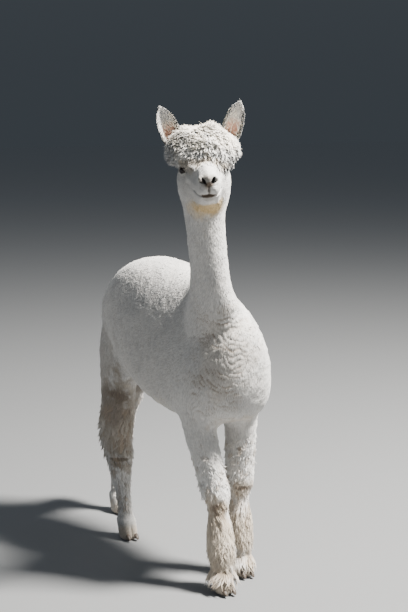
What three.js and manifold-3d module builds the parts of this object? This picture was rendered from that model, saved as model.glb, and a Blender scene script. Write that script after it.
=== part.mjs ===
// A standing huacaya alpaca, shorn a few weeks ago, at life size. Millimetres, +Z up.
// It faces -Y, so its left side is +X. It stands on Z = 0, under the middle of its own box.
// Every solid reaches out to the tips of the coat. The pieces are modelled as one animal and
// parted by cuts SEAM wide, so that no two of them touch.
import * as THREE from "three";
import { mergeVertices } from "three/addons/utils/BufferGeometryUtils.js";
import Module from "manifold-3d";

const wasm = await Module();
wasm.setup();

const SEAM = 0.4; // gap between neighbouring pieces

// Driving dimensions of the animal.
const WITHERS_HEIGHT = 930;
const BACK_HEIGHT = 971; // highest point of the loin
const BREAST_Y = -168; // foremost point of the trunk
const RUMP_Y = 655; // hindmost point of the trunk
const BARREL_HALF_WIDTH = 176;
const SHOULDER_HALF_WIDTH = 152;
const EYE_HEIGHT = 1272;
const EYE_CENTRE = new THREE.Vector3(-112, -97, EYE_HEIGHT); // midway between the two eyes
const HEAD_TURN = THREE.MathUtils.degToRad(-23); // towards its right
const HEAD_DROP = THREE.MathUtils.degToRad(12); // muzzle below level
const HEAD_TILT = THREE.MathUtils.degToRad(4); // left ear higher than the right
const KNEE_HEIGHT = 275;
const HOCK_HEIGHT = 320;
const FETLOCK_HEIGHT = 74; // top of the foot
const EYE_RADIUS = 17;

const COLOURS = {
  fleece: { color: 0xe4dfd6, roughness: 0.95, metalness: 0 },
  legWool: { color: 0xd8cfbf, roughness: 0.95, metalness: 0 },
  topknot: { color: 0xeee4d0, roughness: 0.95, metalness: 0 },
  face: { color: 0xebe5dc, roughness: 0.85, metalness: 0 },
  ear: { color: 0xe2d6cb, roughness: 0.85, metalness: 0 },
  eye: { color: 0x120d0b, roughness: 0.08, metalness: 0 },
  nail: { color: 0x4a4038, roughness: 0.5, metalness: 0 },
  pad: { color: 0x6f655a, roughness: 0.9, metalness: 0 },
};

// ---------------------------------------------------------------- geometry helpers

const vector = (values) => new THREE.Vector3(...values);
const lerp = THREE.MathUtils.lerp;

// A signed power keeps the sign of its base, which squares or pinches a round section.
const signedPower = (base, power) => Math.sign(base) * Math.abs(base) ** power;

// One closed ring round `at`. size is [half width, upper half height, lower half height]. The upper
// and lower halves are superellipses with exponents `crown` and `keel`: 2 is round, more is squarer.
function ring({ at, size, crown, keel }, sides, across, upward, grow) {
  return Array.from({ length: sides }, (_, i) => {
    const angle = (2 * Math.PI * i) / sides;
    const above = Math.sin(angle) > 0;
    const power = 2 / (above ? crown : keel);
    const side = signedPower(Math.cos(angle), power) * (size.x + grow);
    const rise = signedPower(Math.sin(angle), power) * ((above ? size.y : size.z) + grow);
    return at.clone().addScaledVector(across, side).addScaledVector(upward, rise);
  });
}

// The closed skin over a row of rings, with a fan over each end, turned so that it faces out.
function skinOver(rings) {
  const sides = rings[0].length;
  const last = rings.length - 1;
  const middle = (points) =>
    points.reduce((sum, point) => sum.add(point), new THREE.Vector3()).divideScalar(points.length);
  const points = [...rings.flat(), middle(rings[0]), middle(rings[last])];
  const firstHub = points.length - 2;
  const lastHub = points.length - 1;
  const index = [];
  for (let i = 0; i < sides; i++) {
    const next = (i + 1) % sides;
    for (let r = 0; r < last; r++) {
      const [a, b, c, d] = [r * sides + i, r * sides + next, (r + 1) * sides + i, (r + 1) * sides + next];
      index.push(a, b, d, a, d, c);
    }
    index.push(firstHub, next, i, lastHub, last * sides + i, last * sides + next);
  }
  const geometry = new THREE.BufferGeometry().setFromPoints(points);
  geometry.setIndex(index);
  return signedVolume(points, index) < 0 ? flipped(geometry) : geometry;
}

function signedVolume(points, index) {
  let six = 0;
  for (let i = 0; i < index.length; i += 3) {
    const [a, b, c] = [points[index[i]], points[index[i + 1]], points[index[i + 2]]];
    six += a.dot(b.clone().cross(c));
  }
  return six / 6;
}

function flipped(geometry) {
  const index = geometry.index.array;
  for (let i = 0; i < index.length; i += 3) [index[i + 1], index[i + 2]] = [index[i + 2], index[i + 1]];
  return geometry;
}

// Stations are rows of [x, y, z, half width, upper half, lower half, crown, keel], of which the
// last two may be left out. They are joined by a smooth curve, with `steps` rings from each
// station to the next.
function loft(rows, { sides, steps, across, upward, grow = 0 }) {
  const smooth = (part) => new THREE.CatmullRomCurve3(rows.map(part), false, "catmullrom", 0.5);
  const centres = smooth((row) => vector(row.slice(0, 3)));
  const sizes = smooth((row) => vector(row.slice(3, 6)));
  const shapes = smooth(([, , , , , , crown = 2, keel = 2]) => vector([crown, keel, 0]));
  const count = (rows.length - 1) * steps;
  const rings = Array.from({ length: count + 1 }, (_, i) => {
    const shape = shapes.getPoint(i / count);
    const station = { at: centres.getPoint(i / count), size: sizes.getPoint(i / count) };
    return ring({ ...station, crown: shape.x, keel: shape.y }, sides, across, upward, grow);
  });
  return skinOver(rings);
}

const X = new THREE.Vector3(1, 0, 0);
const BACKWARD = new THREE.Vector3(0, 1, 0);
const Z = new THREE.Vector3(0, 0, 1);

// Lofts along the body have upright sections; lofts along a limb or the neck have level ones.
const lengthwise = (rows, options) => loft(rows, { across: X, upward: Z, ...options });
const upright = (rows, options) => {
  const stations = rows.map(([x, y, z, half, depth]) => [x, y, z, half, depth, depth]);
  return loft(stations, { across: X, upward: BACKWARD, ...options });
};

// ---------------------------------------------------------------- solids

function solid(geometry) {
  const bare = new THREE.BufferGeometry().setAttribute("position", geometry.getAttribute("position"));
  bare.setIndex(geometry.index);
  const merged = mergeVertices(bare, 1e-4);
  const mesh = new wasm.Mesh({
    numProp: 3,
    vertProperties: new Float32Array(merged.attributes.position.array),
    triVerts: new Uint32Array(merged.index.array),
  });
  return new wasm.Manifold(mesh);
}

const cut = (body, ...tools) => tools.reduce((rest, tool) => rest.subtract(tool), body);

function geometryOf(body) {
  const { vertProperties, triVerts } = body.getMesh();
  const geometry = new THREE.BufferGeometry();
  geometry.setAttribute("position", new THREE.BufferAttribute(new Float32Array(vertProperties), 3));
  geometry.setIndex(new THREE.BufferAttribute(new Uint32Array(triVerts), 1));
  return geometry;
}

const alpaca = new THREE.Group();

function addPart(name, body, finish) {
  const geometry = geometryOf(body);
  geometry.computeVertexNormals();
  const material = new THREE.MeshStandardMaterial(finish);
  material.name = name;
  const mesh = new THREE.Mesh(geometry, material);
  mesh.name = name;
  alpaca.add(mesh);
  return mesh;
}

// A shape's solid, and the same shape grown by the seam, which cuts its neighbours.
const withCutter = (make) => ({ body: solid(make(0)), cutter: solid(make(SEAM)) });

// ---------------------------------------------------------------- trunk

// The spine bends towards the right behind the shoulders, by this much at the rump.
const RUMP_SHIFT = -31;
const BEND_START_Y = 60;
const spineX = (y) => RUMP_SHIFT * (Math.max(0, y - BEND_START_Y) / (RUMP_Y - BEND_START_Y)) ** 2;

// [y, height of the widest line, half width, up to the back, down to the belly, crown, keel]
const TRUNK = [
  [BREAST_Y, 696, 34, 50, 50],
  [BREAST_Y + 12, 682, 70, 116, 90],
  [-120, 652, 108, 196, 128, 1.8, 2.4],
  [-60, 628, 138, 268, 124, 1.6, 2.8],
  [25, 618, SHOULDER_HALF_WIDTH, WITHERS_HEIGHT - 624, 126, 1.5, 3],
  [150, 650, 160, WITHERS_HEIGHT + 14 - 650, 160, 1.75, 2.9],
  [290, 700, BARREL_HALF_WIDTH, BACK_HEIGHT - 5 - 700, 190, 2.1, 2.7],
  [420, 742, 168, BACK_HEIGHT - 742, 182, 2.2, 2.4],
  [510, 758, 149, BACK_HEIGHT - 20 - 758, 160, 2.2, 2.2],
  [585, 762, 123, 150, 134, 2.1],
  [632, 764, 91, 104, 98],
  [RUMP_Y, 764, 44, 52, 50],
].map(([y, ...rest]) => [spineX(y), y, ...rest]);
const trunkShape = (grow) => lengthwise(TRUNK, { sides: 26, steps: 2, grow });
const trunk = withCutter(trunkShape);
addPart("trunk", trunk.body, COLOURS.fleece);

// ---------------------------------------------------------------- neck

// [x, y, z, half width, half depth], from inside the chest up into the skull
const NECK = [
  [-12, 5, 690, 96, 120],
  [-20, -6, 790, 96, 124],
  [-42, -26, 860, 79, 113],
  [-63, -44, 925, 62, 91],
  [-75, -54, 1000, 60, 76],
  [-85, -56, 1090, 63, 70],
  [-91, -57, 1150, 67, 72],
  [-94, -58, 1220, 70, 74],
];
const neckShape = (grow) => upright(NECK, { sides: 20, steps: 2, grow });
const neck = withCutter(neckShape);

// ---------------------------------------------------------------- head

// The head's own frame sits midway between the eyes: -Y runs along the muzzle, +Z over the brow.
const headFrame = new THREE.Matrix4()
  .makeTranslation(EYE_CENTRE)
  .multiply(new THREE.Matrix4().makeRotationZ(HEAD_TURN))
  .multiply(new THREE.Matrix4().makeRotationX(HEAD_DROP))
  .multiply(new THREE.Matrix4().makeRotationY(-HEAD_TILT));
const inHead = (geometry) => geometry.applyMatrix4(headFrame);

const HEAD_CROWN = 2.1;
const HEAD_KEEL = 2.8; // woolly cheeks keep their width down to the jaw
// [forward of the eyes, height of the widest line, half width, up, down]
const HEAD = [
  [141, -9, 12, 13, 20],
  [136, -8, 26, 25, 38],
  [122, -10, 33, 34, 53],
  [98, -17, 37, 43, 62],
  [70, -24, 44, 57, 80],
  [40, -30, 56, 75, 102],
  [8, -34, 68, 92, 118],
  [-20, -38, 79, 102, 122],
  [-50, -40, 86, 102, 118],
  [-85, -30, 76, 88, 100],
  [-110, -14, 52, 62, 66],
  [-121, -8, 18, 22, 24],
].map(([forward, ...rest]) => [0, -forward, ...rest, HEAD_CROWN, HEAD_KEEL]);
const headShape = (grow) => inHead(lengthwise(HEAD, { sides: 22, steps: 2, grow }));
const head = withCutter(headShape);

// The fleece cap between the ears, down to the brow and over the poll.
const TOPKNOT = [
  [64, 42, 26, 12, 12],
  [56, 44, 62, 32, 26],
  [36, 48, 92, 58, 38],
  [8, 52, 110, 76, 46],
  [-28, 54, 115, 80, 58],
  [-66, 50, 108, 74, 64],
  [-98, 42, 84, 58, 58],
  [-122, 34, 48, 34, 36],
  [-130, 32, 14, 10, 12],
].map(([forward, ...rest]) => [0, -forward, ...rest, 2.05, 2.4]);
const topknotShape = (grow) => inHead(lengthwise(TOPKNOT, { sides: 20, steps: 2, grow }));
const topknot = withCutter(topknotShape);

// An eyeball, in a socket of its own that is open to the side.
const EYE_PLACE = new THREE.Vector3(54, -1, 1);
function eyeShape(side, grow) {
  const ball = new THREE.SphereGeometry(EYE_RADIUS + grow, 12, 8);
  ball.rotateX(Math.PI / 2).translate(side * EYE_PLACE.x, EYE_PLACE.y, EYE_PLACE.z);
  return inHead(ball);
}

// An ear: a spear-shaped leaf whose front is scooped out. [out, forward, up, half width, half depth]
const EAR_ROOT = new THREE.Vector3(74, -42, 58);
const EAR_TIP = new THREE.Vector3(115, -47, 174);
const EAR_LEAF = [
  [0, 17, 15],
  [0.22, 25, 17],
  [0.48, 28, 14],
  [0.72, 23, 10],
  [0.9, 14, 7],
  [1, 4, 3],
];
const EAR_HOLLOW = { from: 0.12, to: 0.86, forward: 12, share: 0.74 };
function earLoft(side, rows, forward, grow) {
  const along = (t) => EAR_ROOT.clone().lerp(EAR_TIP, t);
  const stations = rows.map(([t, half, depth]) => {
    const at = along(t);
    return [side * at.x, -(at.y + forward), at.z, half, depth, depth];
  });
  const lean = vector([side * (EAR_TIP.x - EAR_ROOT.x), 0, EAR_TIP.z - EAR_ROOT.z]).normalize();
  const across = new THREE.Vector3().crossVectors(BACKWARD, lean);
  return inHead(loft(stations, { sides: 12, steps: 2, across, upward: BACKWARD, grow }));
}
const earShape = (side, grow) => earLoft(side, EAR_LEAF, 0, grow);
function earHollowShape(side) {
  const { from, to, forward, share } = EAR_HOLLOW;
  const rows = EAR_LEAF.map(([t, half, depth]) => [lerp(from, to, t), half * share, depth * share]);
  return earLoft(side, rows, forward, 0);
}

const SIDES = [
  { name: "left", side: 1 },
  { name: "right", side: -1 },
];
const eyes = SIDES.map(({ side }) => withCutter((grow) => eyeShape(side, grow)));
const sockets = eyes.map((eye) => eye.cutter);

addPart("neck", cut(neck.body, trunk.cutter, head.cutter, topknot.cutter), COLOURS.fleece);
addPart("head", cut(head.body, topknot.cutter, ...sockets), COLOURS.face);
addPart("topknot", cut(topknot.body, ...sockets), COLOURS.topknot);
SIDES.forEach(({ name, side }, i) => {
  addPart(`eye_${name}`, eyes[i].body, COLOURS.eye);
  const leaf = cut(solid(earShape(side, 0)), solid(earHollowShape(side)), topknot.cutter, head.cutter);
  addPart(`ear_${name}`, leaf, COLOURS.ear);
});

// ---------------------------------------------------------------- tail

const TAIL = [
  [0, -18, 884, 26, 24],
  [0, 12, 868, 34, 28],
  [-3, 33, 830, 40, 31],
  [-4, 38, 760, 43, 33],
  [-5, 36, 690, 38, 30],
  [-5, 32, 640, 22, 18],
  [-5, 30, 622, 6, 6],
].map(([side, behind, ...rest]) => [RUMP_SHIFT + side, RUMP_Y + behind, ...rest]);
const tail = withCutter((grow) => upright(TAIL, { sides: 14, steps: 1, grow }));
addPart("tail", cut(tail.body, trunk.cutter), COLOURS.fleece);

// ---------------------------------------------------------------- legs

// Half widths and half depths of a limb, at a joint or part of the way to the next one.
const FORE_LIMB = [
  [0, 36, 56],
  [0.4, 56, 84],
  [1, 53, 67],
  [1.5, 49, 56],
  [1.85, 49, 54],
  [2.1, 46, 50],
  [2.35, 50, 55],
  [2.7, 54, 60],
  [3, 49, 55],
  [3.4, 36, 42],
];
const HIND_LIMB = [
  [0, 30, 70],
  [0.3, 60, 126],
  [0.65, 66, 134],
  [1, 60, 116],
  [1.4, 53, 97],
  [1.75, 52, 87],
  [1.97, 51, 77],
  [2.2, 49, 66],
  [2.42, 41, 50],
  [2.65, 31, 36],
  [3, 29, 34],
  [3.4, 31, 37],
];

// Joint centres of each leg in its own stride, from inside the trunk down to the sole.
const LEGS = {
  fore_left: {
    limb: FORE_LIMB,
    split: KNEE_HEIGHT,
    joints: [[86, 20, 640], [78, 20, 500], [75, 26, 270], [70, 12, 90], [70, 2, 0]],
  },
  fore_right: {
    limb: FORE_LIMB,
    split: KNEE_HEIGHT,
    joints: [[-90, 20, 640], [-82, 0, 500], [-48, -62, 270], [-48, -92, 90], [-54, -104, 0]],
  },
  hind_left: {
    limb: HIND_LIMB,
    split: HOCK_HEIGHT,
    joints: [[34, 552, 800], [16, 622, 600], [12, 780, 356], [6, 790, 90], [4, 778, 0]],
  },
  hind_right: {
    limb: HIND_LIMB,
    split: HOCK_HEIGHT,
    joints: [[-88, 496, 800], [-108, 514, 600], [-102, 552, 334], [-91, 511, 90], [-91, 498, 0]],
  },
};

// The rows of a limb's loft: each joint is passed through, and sizes change in between.
function limbRows({ limb, joints }) {
  return limb.map(([at, half, depth]) => {
    const joint = Math.min(Math.floor(at), joints.length - 2);
    const centre = vector(joints[joint]).lerp(vector(joints[joint + 1]), at - joint);
    return [...centre.toArray(), half, depth];
  });
}

// A slab that holds all between two heights, for parting a limb.
const slab = (low, high) =>
  solid(new THREE.BoxGeometry(4000, 4000, high - low).translate(0, 0, (low + high) / 2));

for (const [name, leg] of Object.entries(LEGS)) {
  const whole = solid(upright(limbRows(leg), { sides: 18, steps: 1 }));
  const upper = whole.intersect(slab(leg.split + SEAM / 2, 2000));
  const lower = whole.intersect(slab(FETLOCK_HEIGHT + SEAM, leg.split - SEAM / 2));
  addPart(`leg_${name}_upper`, cut(upper, trunk.cutter, tail.cutter), COLOURS.fleece);
  addPart(`leg_${name}_lower`, lower, COLOURS.legWool);
}

// ---------------------------------------------------------------- feet

// A foot has two toes on a leathery pad, each with one nail in front.
const FOOT = { half: 31, depth: 40, ahead: 8 };
const TOE_CLEFT = { width: 5, length: 38, height: 30 };
const NAIL = { half: 9, height: 17, length: 22 };
const NAIL_SPREAD = 14; // from the middle of the foot
const NAIL_SET_BACK = 14; // root of the nail behind the front of the toe
function footRows([x, y], [topX, topY]) {
  return [
    [x, y - FOOT.ahead, 0, FOOT.half - 8, FOOT.depth - 8],
    [x, y - FOOT.ahead, 8, FOOT.half - 1, FOOT.depth - 2],
    [x, y - FOOT.ahead + 2, 24, FOOT.half, FOOT.depth],
    [x, lerp(y, topY, 0.5) - 4, 48, FOOT.half, FOOT.depth - 2],
    [topX, topY, FETLOCK_HEIGHT, FOOT.half + 5, FOOT.depth + 2],
  ];
}

// A toenail: a short hook that points ahead and down.
function nailShape(x, y) {
  const rows = [
    [0, 19, 5, 6],
    [-0.35, 18, NAIL.half, NAIL.height / 2],
    [-0.75, 13, NAIL.half * 0.75, NAIL.height * 0.36],
    [-1, 7, 2.5, 3],
  ].map(([back, z, half, rise]) => [x, y + back * NAIL.length, z, half, rise, rise]);
  return lengthwise(rows, { sides: 6, steps: 1 });
}

function cleftShape(x, toeY) {
  const { width, length, height } = TOE_CLEFT;
  return new THREE.BoxGeometry(width, length * 2, height * 2).translate(x, toeY, 0);
}

for (const [name, leg] of Object.entries(LEGS)) {
  const [ankle, sole] = leg.joints.slice(-2);
  const toeY = sole[1] - FOOT.ahead - FOOT.depth;
  const block = solid(upright(footRows(sole, ankle), { sides: 18, steps: 1 }));
  const foot = cut(block, solid(cleftShape(sole[0], toeY)));
  addPart(`foot_${name}`, foot, COLOURS.pad);
  for (const { name: place, side } of SIDES) {
    const nail = solid(nailShape(sole[0] + side * NAIL_SPREAD, toeY + NAIL_SET_BACK));
    addPart(`nail_${name}_${place}`, cut(nail, foot), COLOURS.nail);
  }
}

// The frame's origin is on the floor, under the middle of the animal's box.
const box = new THREE.Box3().setFromObject(alpaca);
const centre = box.getCenter(new THREE.Vector3());
alpaca.children.forEach((mesh) => mesh.geometry.translate(-centre.x, -centre.y, -box.min.z));

export default alpaca;
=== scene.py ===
"""A standing huacaya alpaca, shorn some weeks ago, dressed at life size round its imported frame.

Metres, +Z up. The animal faces -Y, so its left side is towards +X. The frame's solids reach out to the
tips of the coat: one skin takes the place of the solids of flesh and lies inside them by the coat's
depth, and the wool stands on it in solid locks that follow the lie of the coat.
"""

import logging
import math
from collections.abc import Callable, Sequence
from dataclasses import dataclass, field
from enum import Enum

import bmesh
import bpy
import numpy as np
from mathutils import Euler, Matrix, Vector, kdtree


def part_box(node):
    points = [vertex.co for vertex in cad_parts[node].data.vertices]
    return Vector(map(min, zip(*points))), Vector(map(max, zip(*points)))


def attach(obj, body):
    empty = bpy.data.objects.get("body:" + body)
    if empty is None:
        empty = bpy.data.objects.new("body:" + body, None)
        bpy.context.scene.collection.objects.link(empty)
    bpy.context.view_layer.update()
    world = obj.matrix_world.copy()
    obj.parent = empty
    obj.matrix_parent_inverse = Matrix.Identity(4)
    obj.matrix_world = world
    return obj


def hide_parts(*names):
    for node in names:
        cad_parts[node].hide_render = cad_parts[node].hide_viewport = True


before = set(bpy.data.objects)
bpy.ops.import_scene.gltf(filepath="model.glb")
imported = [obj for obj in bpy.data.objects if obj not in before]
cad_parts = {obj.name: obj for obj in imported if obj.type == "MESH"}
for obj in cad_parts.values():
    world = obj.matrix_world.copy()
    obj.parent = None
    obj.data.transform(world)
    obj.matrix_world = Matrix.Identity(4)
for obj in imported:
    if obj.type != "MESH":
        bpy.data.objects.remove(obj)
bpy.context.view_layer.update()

LOG = logging.getLogger("alpaca")
MM = 0.001
BAKE_MAP = "OFBake"
BODY = "root"
SHARE = 1.0  # of the locks that are grown
SIDES = {"left": 1, "right": -1}
LEGS = ("fore_left", "fore_right", "hind_left", "hind_right")

Array = np.ndarray
Mesh = bpy.types.Mesh
Material = bpy.types.Material
Random = np.random.Generator
Triple = tuple[float, float, float]
Profile = tuple[tuple[float, float], ...]  # rows of a place and the value there


# ---------------- numbers and noise


def unit(vectors: Array) -> Array:
    """Vectors of length one."""
    return vectors / np.maximum(np.linalg.norm(vectors, axis=-1, keepdims=True), 1e-12)


def dot(first: Array, second: Array) -> Array:
    """Row by row dot product."""
    return np.sum(first * second, axis=-1)


def ease(low: float, high: float, values: Array) -> Array:
    """A smooth step from 0 at low to 1 at high; low may be above high."""
    share = np.clip((values - low) / (high - low), 0, 1)
    return share * share * (3 - 2 * share)


# Large numbers that mix a cell's three numbers, the seed, and the result once more.
MIXERS = (73856093, 19349663, 83492791)
SEED_MIXER = 2654435
LAST_MIXER = 1274126177
SIXTEEN_BITS = 0xFFFF


def lumps(points: Array, size: float, seed: int) -> Array:
    """Smooth lattice noise.

    Args:
        points: Places, one row each.
        size: Spacing of the lattice in metres.
        seed: Chooses the pattern.

    Returns:
        A value from 0 to 1 for each place.
    """
    grid = points / size
    base = np.floor(grid).astype(np.int64)
    part = grid - base
    blend = part * part * (3 - 2 * part)
    total = np.zeros(len(points))
    for corner in range(8):
        offset = np.array([corner & 1, corner >> 1 & 1, corner >> 2 & 1])
        along, across, up = (base + offset).T * np.array(MIXERS)[:, None]
        mixed = along ^ across ^ up ^ seed * SEED_MIXER
        mixed = (mixed ^ mixed >> 13) * LAST_MIXER
        chance = (mixed >> 7 & SIXTEEN_BITS) / SIXTEEN_BITS
        total += chance * np.prod(np.where(offset, blend, 1 - blend), axis=1)
    return total


def whorls(points: Array, size: float, seed: int) -> Array:
    """Smooth turns from -0.5 to 0.5 along each axis, on a lattice of this size."""
    return np.stack([lumps(points, size, seed + axis) for axis in range(3)], 1) - 0.5


def across_mesh(normals: Array, directions: Array) -> Array:
    """Directions laid flat on a surface with these normals."""
    return unit(directions - normals * dot(directions, normals)[:, None])


# ---------------- meshes as arrays


def numbers_of(rows: bpy.types.bpy_prop_collection, key: str, width: int, kind: type = float) -> Array:
    """Reads one property of all the rows of a mesh, so many numbers wide."""
    found = np.empty(len(rows) * width, kind)
    rows.foreach_get(key, found)
    return found.reshape(-1, width)


def points_of(mesh: Mesh) -> Array:
    """The mesh's points."""
    return numbers_of(mesh.vertices, "co", 3)


def set_points(mesh: Mesh, points: Array) -> None:
    """Moves the mesh's points."""
    mesh.vertices.foreach_set("co", points.ravel())
    mesh.update()


def normals_of(mesh: Mesh) -> Array:
    """The normal at each point."""
    return numbers_of(mesh.vertex_normals, "vector", 3, np.float32).astype(float)


def triangles_of(mesh: Mesh) -> Array:
    """The mesh's triangles."""
    mesh.calc_loop_triangles()
    return numbers_of(mesh.loop_triangles, "vertices", 3, np.int64)


def mesh_from(name: str, points: Array, triangles: Array) -> Mesh:
    """A smooth-shaded mesh made of triangles.

    Args:
        name: The mesh's name.
        points: Places, one row each.
        triangles: Three numbers of points for each triangle.

    Returns:
        The mesh.
    """
    mesh = bpy.data.meshes.new(name)
    mesh.vertices.add(len(points))
    mesh.vertices.foreach_set("co", points.astype(np.float32).ravel())
    mesh.loops.add(triangles.size)
    mesh.loops.foreach_set("vertex_index", triangles.astype(np.int32).ravel())
    mesh.polygons.add(len(triangles))
    mesh.polygons.foreach_set("loop_start", np.arange(0, triangles.size, 3, dtype=np.int32))
    mesh.update(calc_edges=True)
    mesh.shade_smooth()
    return mesh


def write_values(mesh: Mesh, name: str, values: Array) -> None:
    """Stores one number for each point, for a material to read."""
    made = mesh.attributes.new(name, "FLOAT", "POINT")
    made.data.foreach_set("value", values.astype(np.float32))


def relax(mesh: Mesh, rounds: int, amount: Array | float) -> None:
    """Draws each point towards the middle of its neighbours.

    Args:
        mesh: The mesh to smooth.
        rounds: How many times.
        amount: Share of the way, one number or one for each point.
    """
    points = points_of(mesh)
    edges = numbers_of(mesh.edges, "vertices", 2, np.int64)
    ends = np.concatenate([edges[:, 0], edges[:, 1]])
    others = np.concatenate([edges[:, 1], edges[:, 0]])
    count = np.maximum(np.bincount(ends, minlength=len(points)), 1)[:, None]
    share = np.broadcast_to(np.asarray(amount, float), len(points))[:, None]
    for _ in range(rounds):
        sums = [np.bincount(ends, points[others, axis], len(points)) for axis in range(3)]
        points += share * (np.stack(sums, 1) / count - points)
    set_points(mesh, points)


def in_scene(name: str, data: bpy.types.ID) -> bpy.types.Object:
    """Puts a new object in the scene."""
    made = bpy.data.objects.new(name, data)
    bpy.context.scene.collection.objects.link(made)
    return made


def add_piece(name: str, mesh: Mesh, material: Material) -> bpy.types.Object:
    """Puts a mesh in the scene as a piece that rides on the animal's body.

    Args:
        name: The piece's name.
        mesh: Its mesh.
        material: Its material.

    Returns:
        The piece.
    """
    mesh.materials.append(material)
    piece = in_scene(name, mesh)
    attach(piece, BODY)
    LOG.info("%s: %d triangles", name, len(mesh.loops) - 2 * len(mesh.polygons))
    return piece


# ---------------- shader building


class Signal:
    """A shader socket that takes part in Python arithmetic."""

    def __init__(self, graph: "Graph", socket: bpy.types.NodeSocket) -> None:
        """Wraps one output socket."""
        self.graph = graph
        self.socket = socket

    def __add__(self, other: "Signal | float") -> "Signal":
        """Sum."""
        return self.graph.math("ADD", self, other)

    def __sub__(self, other: "Signal | float") -> "Signal":
        """Difference."""
        return self.graph.math("SUBTRACT", self, other)

    def __rsub__(self, other: float) -> "Signal":
        """A number less this."""
        return self.graph.math("SUBTRACT", other, self)

    def __mul__(self, other: "Signal | float") -> "Signal":
        """Product."""
        return self.graph.math("MULTIPLY", self, other)

    __radd__ = __add__
    __rmul__ = __mul__

    def step(self, low: float, high: float) -> "Signal":
        """A smooth step from 0 at low to 1 at high."""
        sockets = {"Value": self, "From Min": low, "From Max": high}
        return self.graph.add("ShaderNodeMapRange", {"interpolation_type": "SMOOTHSTEP"}, sockets)


class Graph:
    """A node tree that ends in one shader, built from expressions."""

    def __init__(self, owner: Material | bpy.types.World, shader: str = "Principled BSDF") -> None:
        """Starts a material, or a world, with the shader that it has from new."""
        owner.use_nodes = True
        self.owner = owner
        self.tree = owner.node_tree
        self.shader = self.tree.nodes[shader]

    def add(self, kind: str, settings: dict | None = None, sockets: dict | None = None,
            output: str | None = None) -> Signal:
        """Adds any node.

        Args:
            kind: The node's type.
            settings: Its own settings, such as a Math node's operation.
            sockets: Values or signals for its inputs, by name or number.
            output: Name of the output to give back; the first enabled one if it is left out.

        Returns:
            The output.
        """
        node = self.tree.nodes.new(kind)
        for key, value in (settings or {}).items():
            setattr(node, key, value)
        for key, value in (sockets or {}).items():
            self.feed(node.inputs[key], value)
        if output:
            return Signal(self, node.outputs[output])
        return Signal(self, next(o for o in node.outputs if o.enabled))

    def feed(self, socket: bpy.types.NodeSocket, value: "Signal | float | Sequence[float]") -> None:
        """Links a signal to a socket, or sets its value."""
        if isinstance(value, Signal):
            self.tree.links.new(value.socket, socket)
        elif socket.type == "RGBA" and len(value) == 3:
            socket.default_value = (*value, 1.0)
        else:
            socket.default_value = value

    def math(self, operation: str, first: Signal | float, second: Signal | float) -> Signal:
        """A Math node."""
        return self.add("ShaderNodeMath", {"operation": operation}, {0: first, 1: second})

    def vector(self, operation: str, first: Signal, second: Signal | Sequence[float]) -> Signal:
        """A Vector Math node."""
        return self.add("ShaderNodeVectorMath", {"operation": operation}, {0: first, 1: second})

    def length(self, vector: Signal) -> Signal:
        """The length of a vector."""
        return self.add("ShaderNodeVectorMath", {"operation": "LENGTH"}, {0: vector}, "Value")

    def mix(self, share: Signal | float, first: Signal | Triple, second: Signal | Triple,
            blend: str = "MIX") -> Signal:
        """Two colours mixed."""
        settings = {"data_type": "RGBA", "blend_type": blend}
        return self.add("ShaderNodeMix", settings, {"Factor": share, 6: first, 7: second})

    def tinted(self, colour: Signal, by: Signal) -> Signal:
        """A colour made darker or lighter by a number."""
        grey = self.add("ShaderNodeCombineColor", None, {0: by, 1: by, 2: by})
        return self.mix(1.0, colour, grey, "MULTIPLY")

    def place(self) -> Signal:
        """The point's place in the animal's own frame."""
        return self.add("ShaderNodeTexCoord", output="Object")

    def attribute(self, name: str) -> Signal:
        """A number stored on the mesh."""
        return self.add("ShaderNodeAttribute", {"attribute_name": name}, output="Fac")

    def noise(self, at: Signal, scale: float, detail: float = 2.0, rough: float = 0.5) -> Signal:
        """Noise with about `scale` lumps to the metre."""
        sockets = {"Vector": at, "Scale": scale, "Detail": detail, "Roughness": rough}
        return self.add("ShaderNodeTexNoise", None, sockets)

    def bump(self, height: Signal, strength: float, depth: float) -> None:
        """Raises the surface's normal by a height from 0 to 1, `depth` metres deep."""
        sockets = {"Height": height, "Strength": strength, "Distance": depth}
        self.feed(self.shader.inputs["Normal"], self.add("ShaderNodeBump", None, sockets))

    def finish(self, sockets: dict) -> Material | bpy.types.World:
        """Sets the shader's sockets and gives the material or world back."""
        for key, value in sockets.items():
            self.feed(self.shader.inputs[key], value)
        return self.owner


def new_graph(name: str) -> Graph:
    """The graph of a new material."""
    return Graph(bpy.data.materials.new(name))


# ---------------- the animal's own frame and lines


class HeadFrame:
    """Left, forward and up from the point midway between the eyes, in millimetres."""

    TURN = math.radians(-23)
    DROP = math.radians(12)
    TILT = math.radians(4)
    EYE_OFFSET = Vector((0, -1, 1)) * MM  # of the eyes from the frame's origin, before it is turned

    def __init__(self) -> None:
        """Takes its place from the frame's eyes."""
        turn = Matrix.Rotation(self.TURN, 3, "Z") @ Matrix.Rotation(self.DROP, 3, "X")
        self.rotation = turn @ Matrix.Rotation(-self.TILT, 3, "Y")
        corners = [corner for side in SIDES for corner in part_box(f"eye_{side}")]
        middle = sum(corners, Vector()) / len(corners)
        self.origin = np.array(middle - self.rotation @ self.EYE_OFFSET)
        rows = np.array(self.rotation).T
        self.axes = np.array([rows[0], -rows[1], rows[2]])

    def local(self, points: Array) -> Array:
        """Places in this frame."""
        return (points - self.origin) @ self.axes.T / MM

    def world(self, places: Array) -> Array:
        """Places in the animal's frame."""
        return self.origin + np.asarray(places, float) * MM @ self.axes

    def direction(self, vectors: Array) -> Array:
        """Directions turned into the animal's frame."""
        return np.asarray(vectors, float) @ self.axes


HEAD = HeadFrame()
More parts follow.
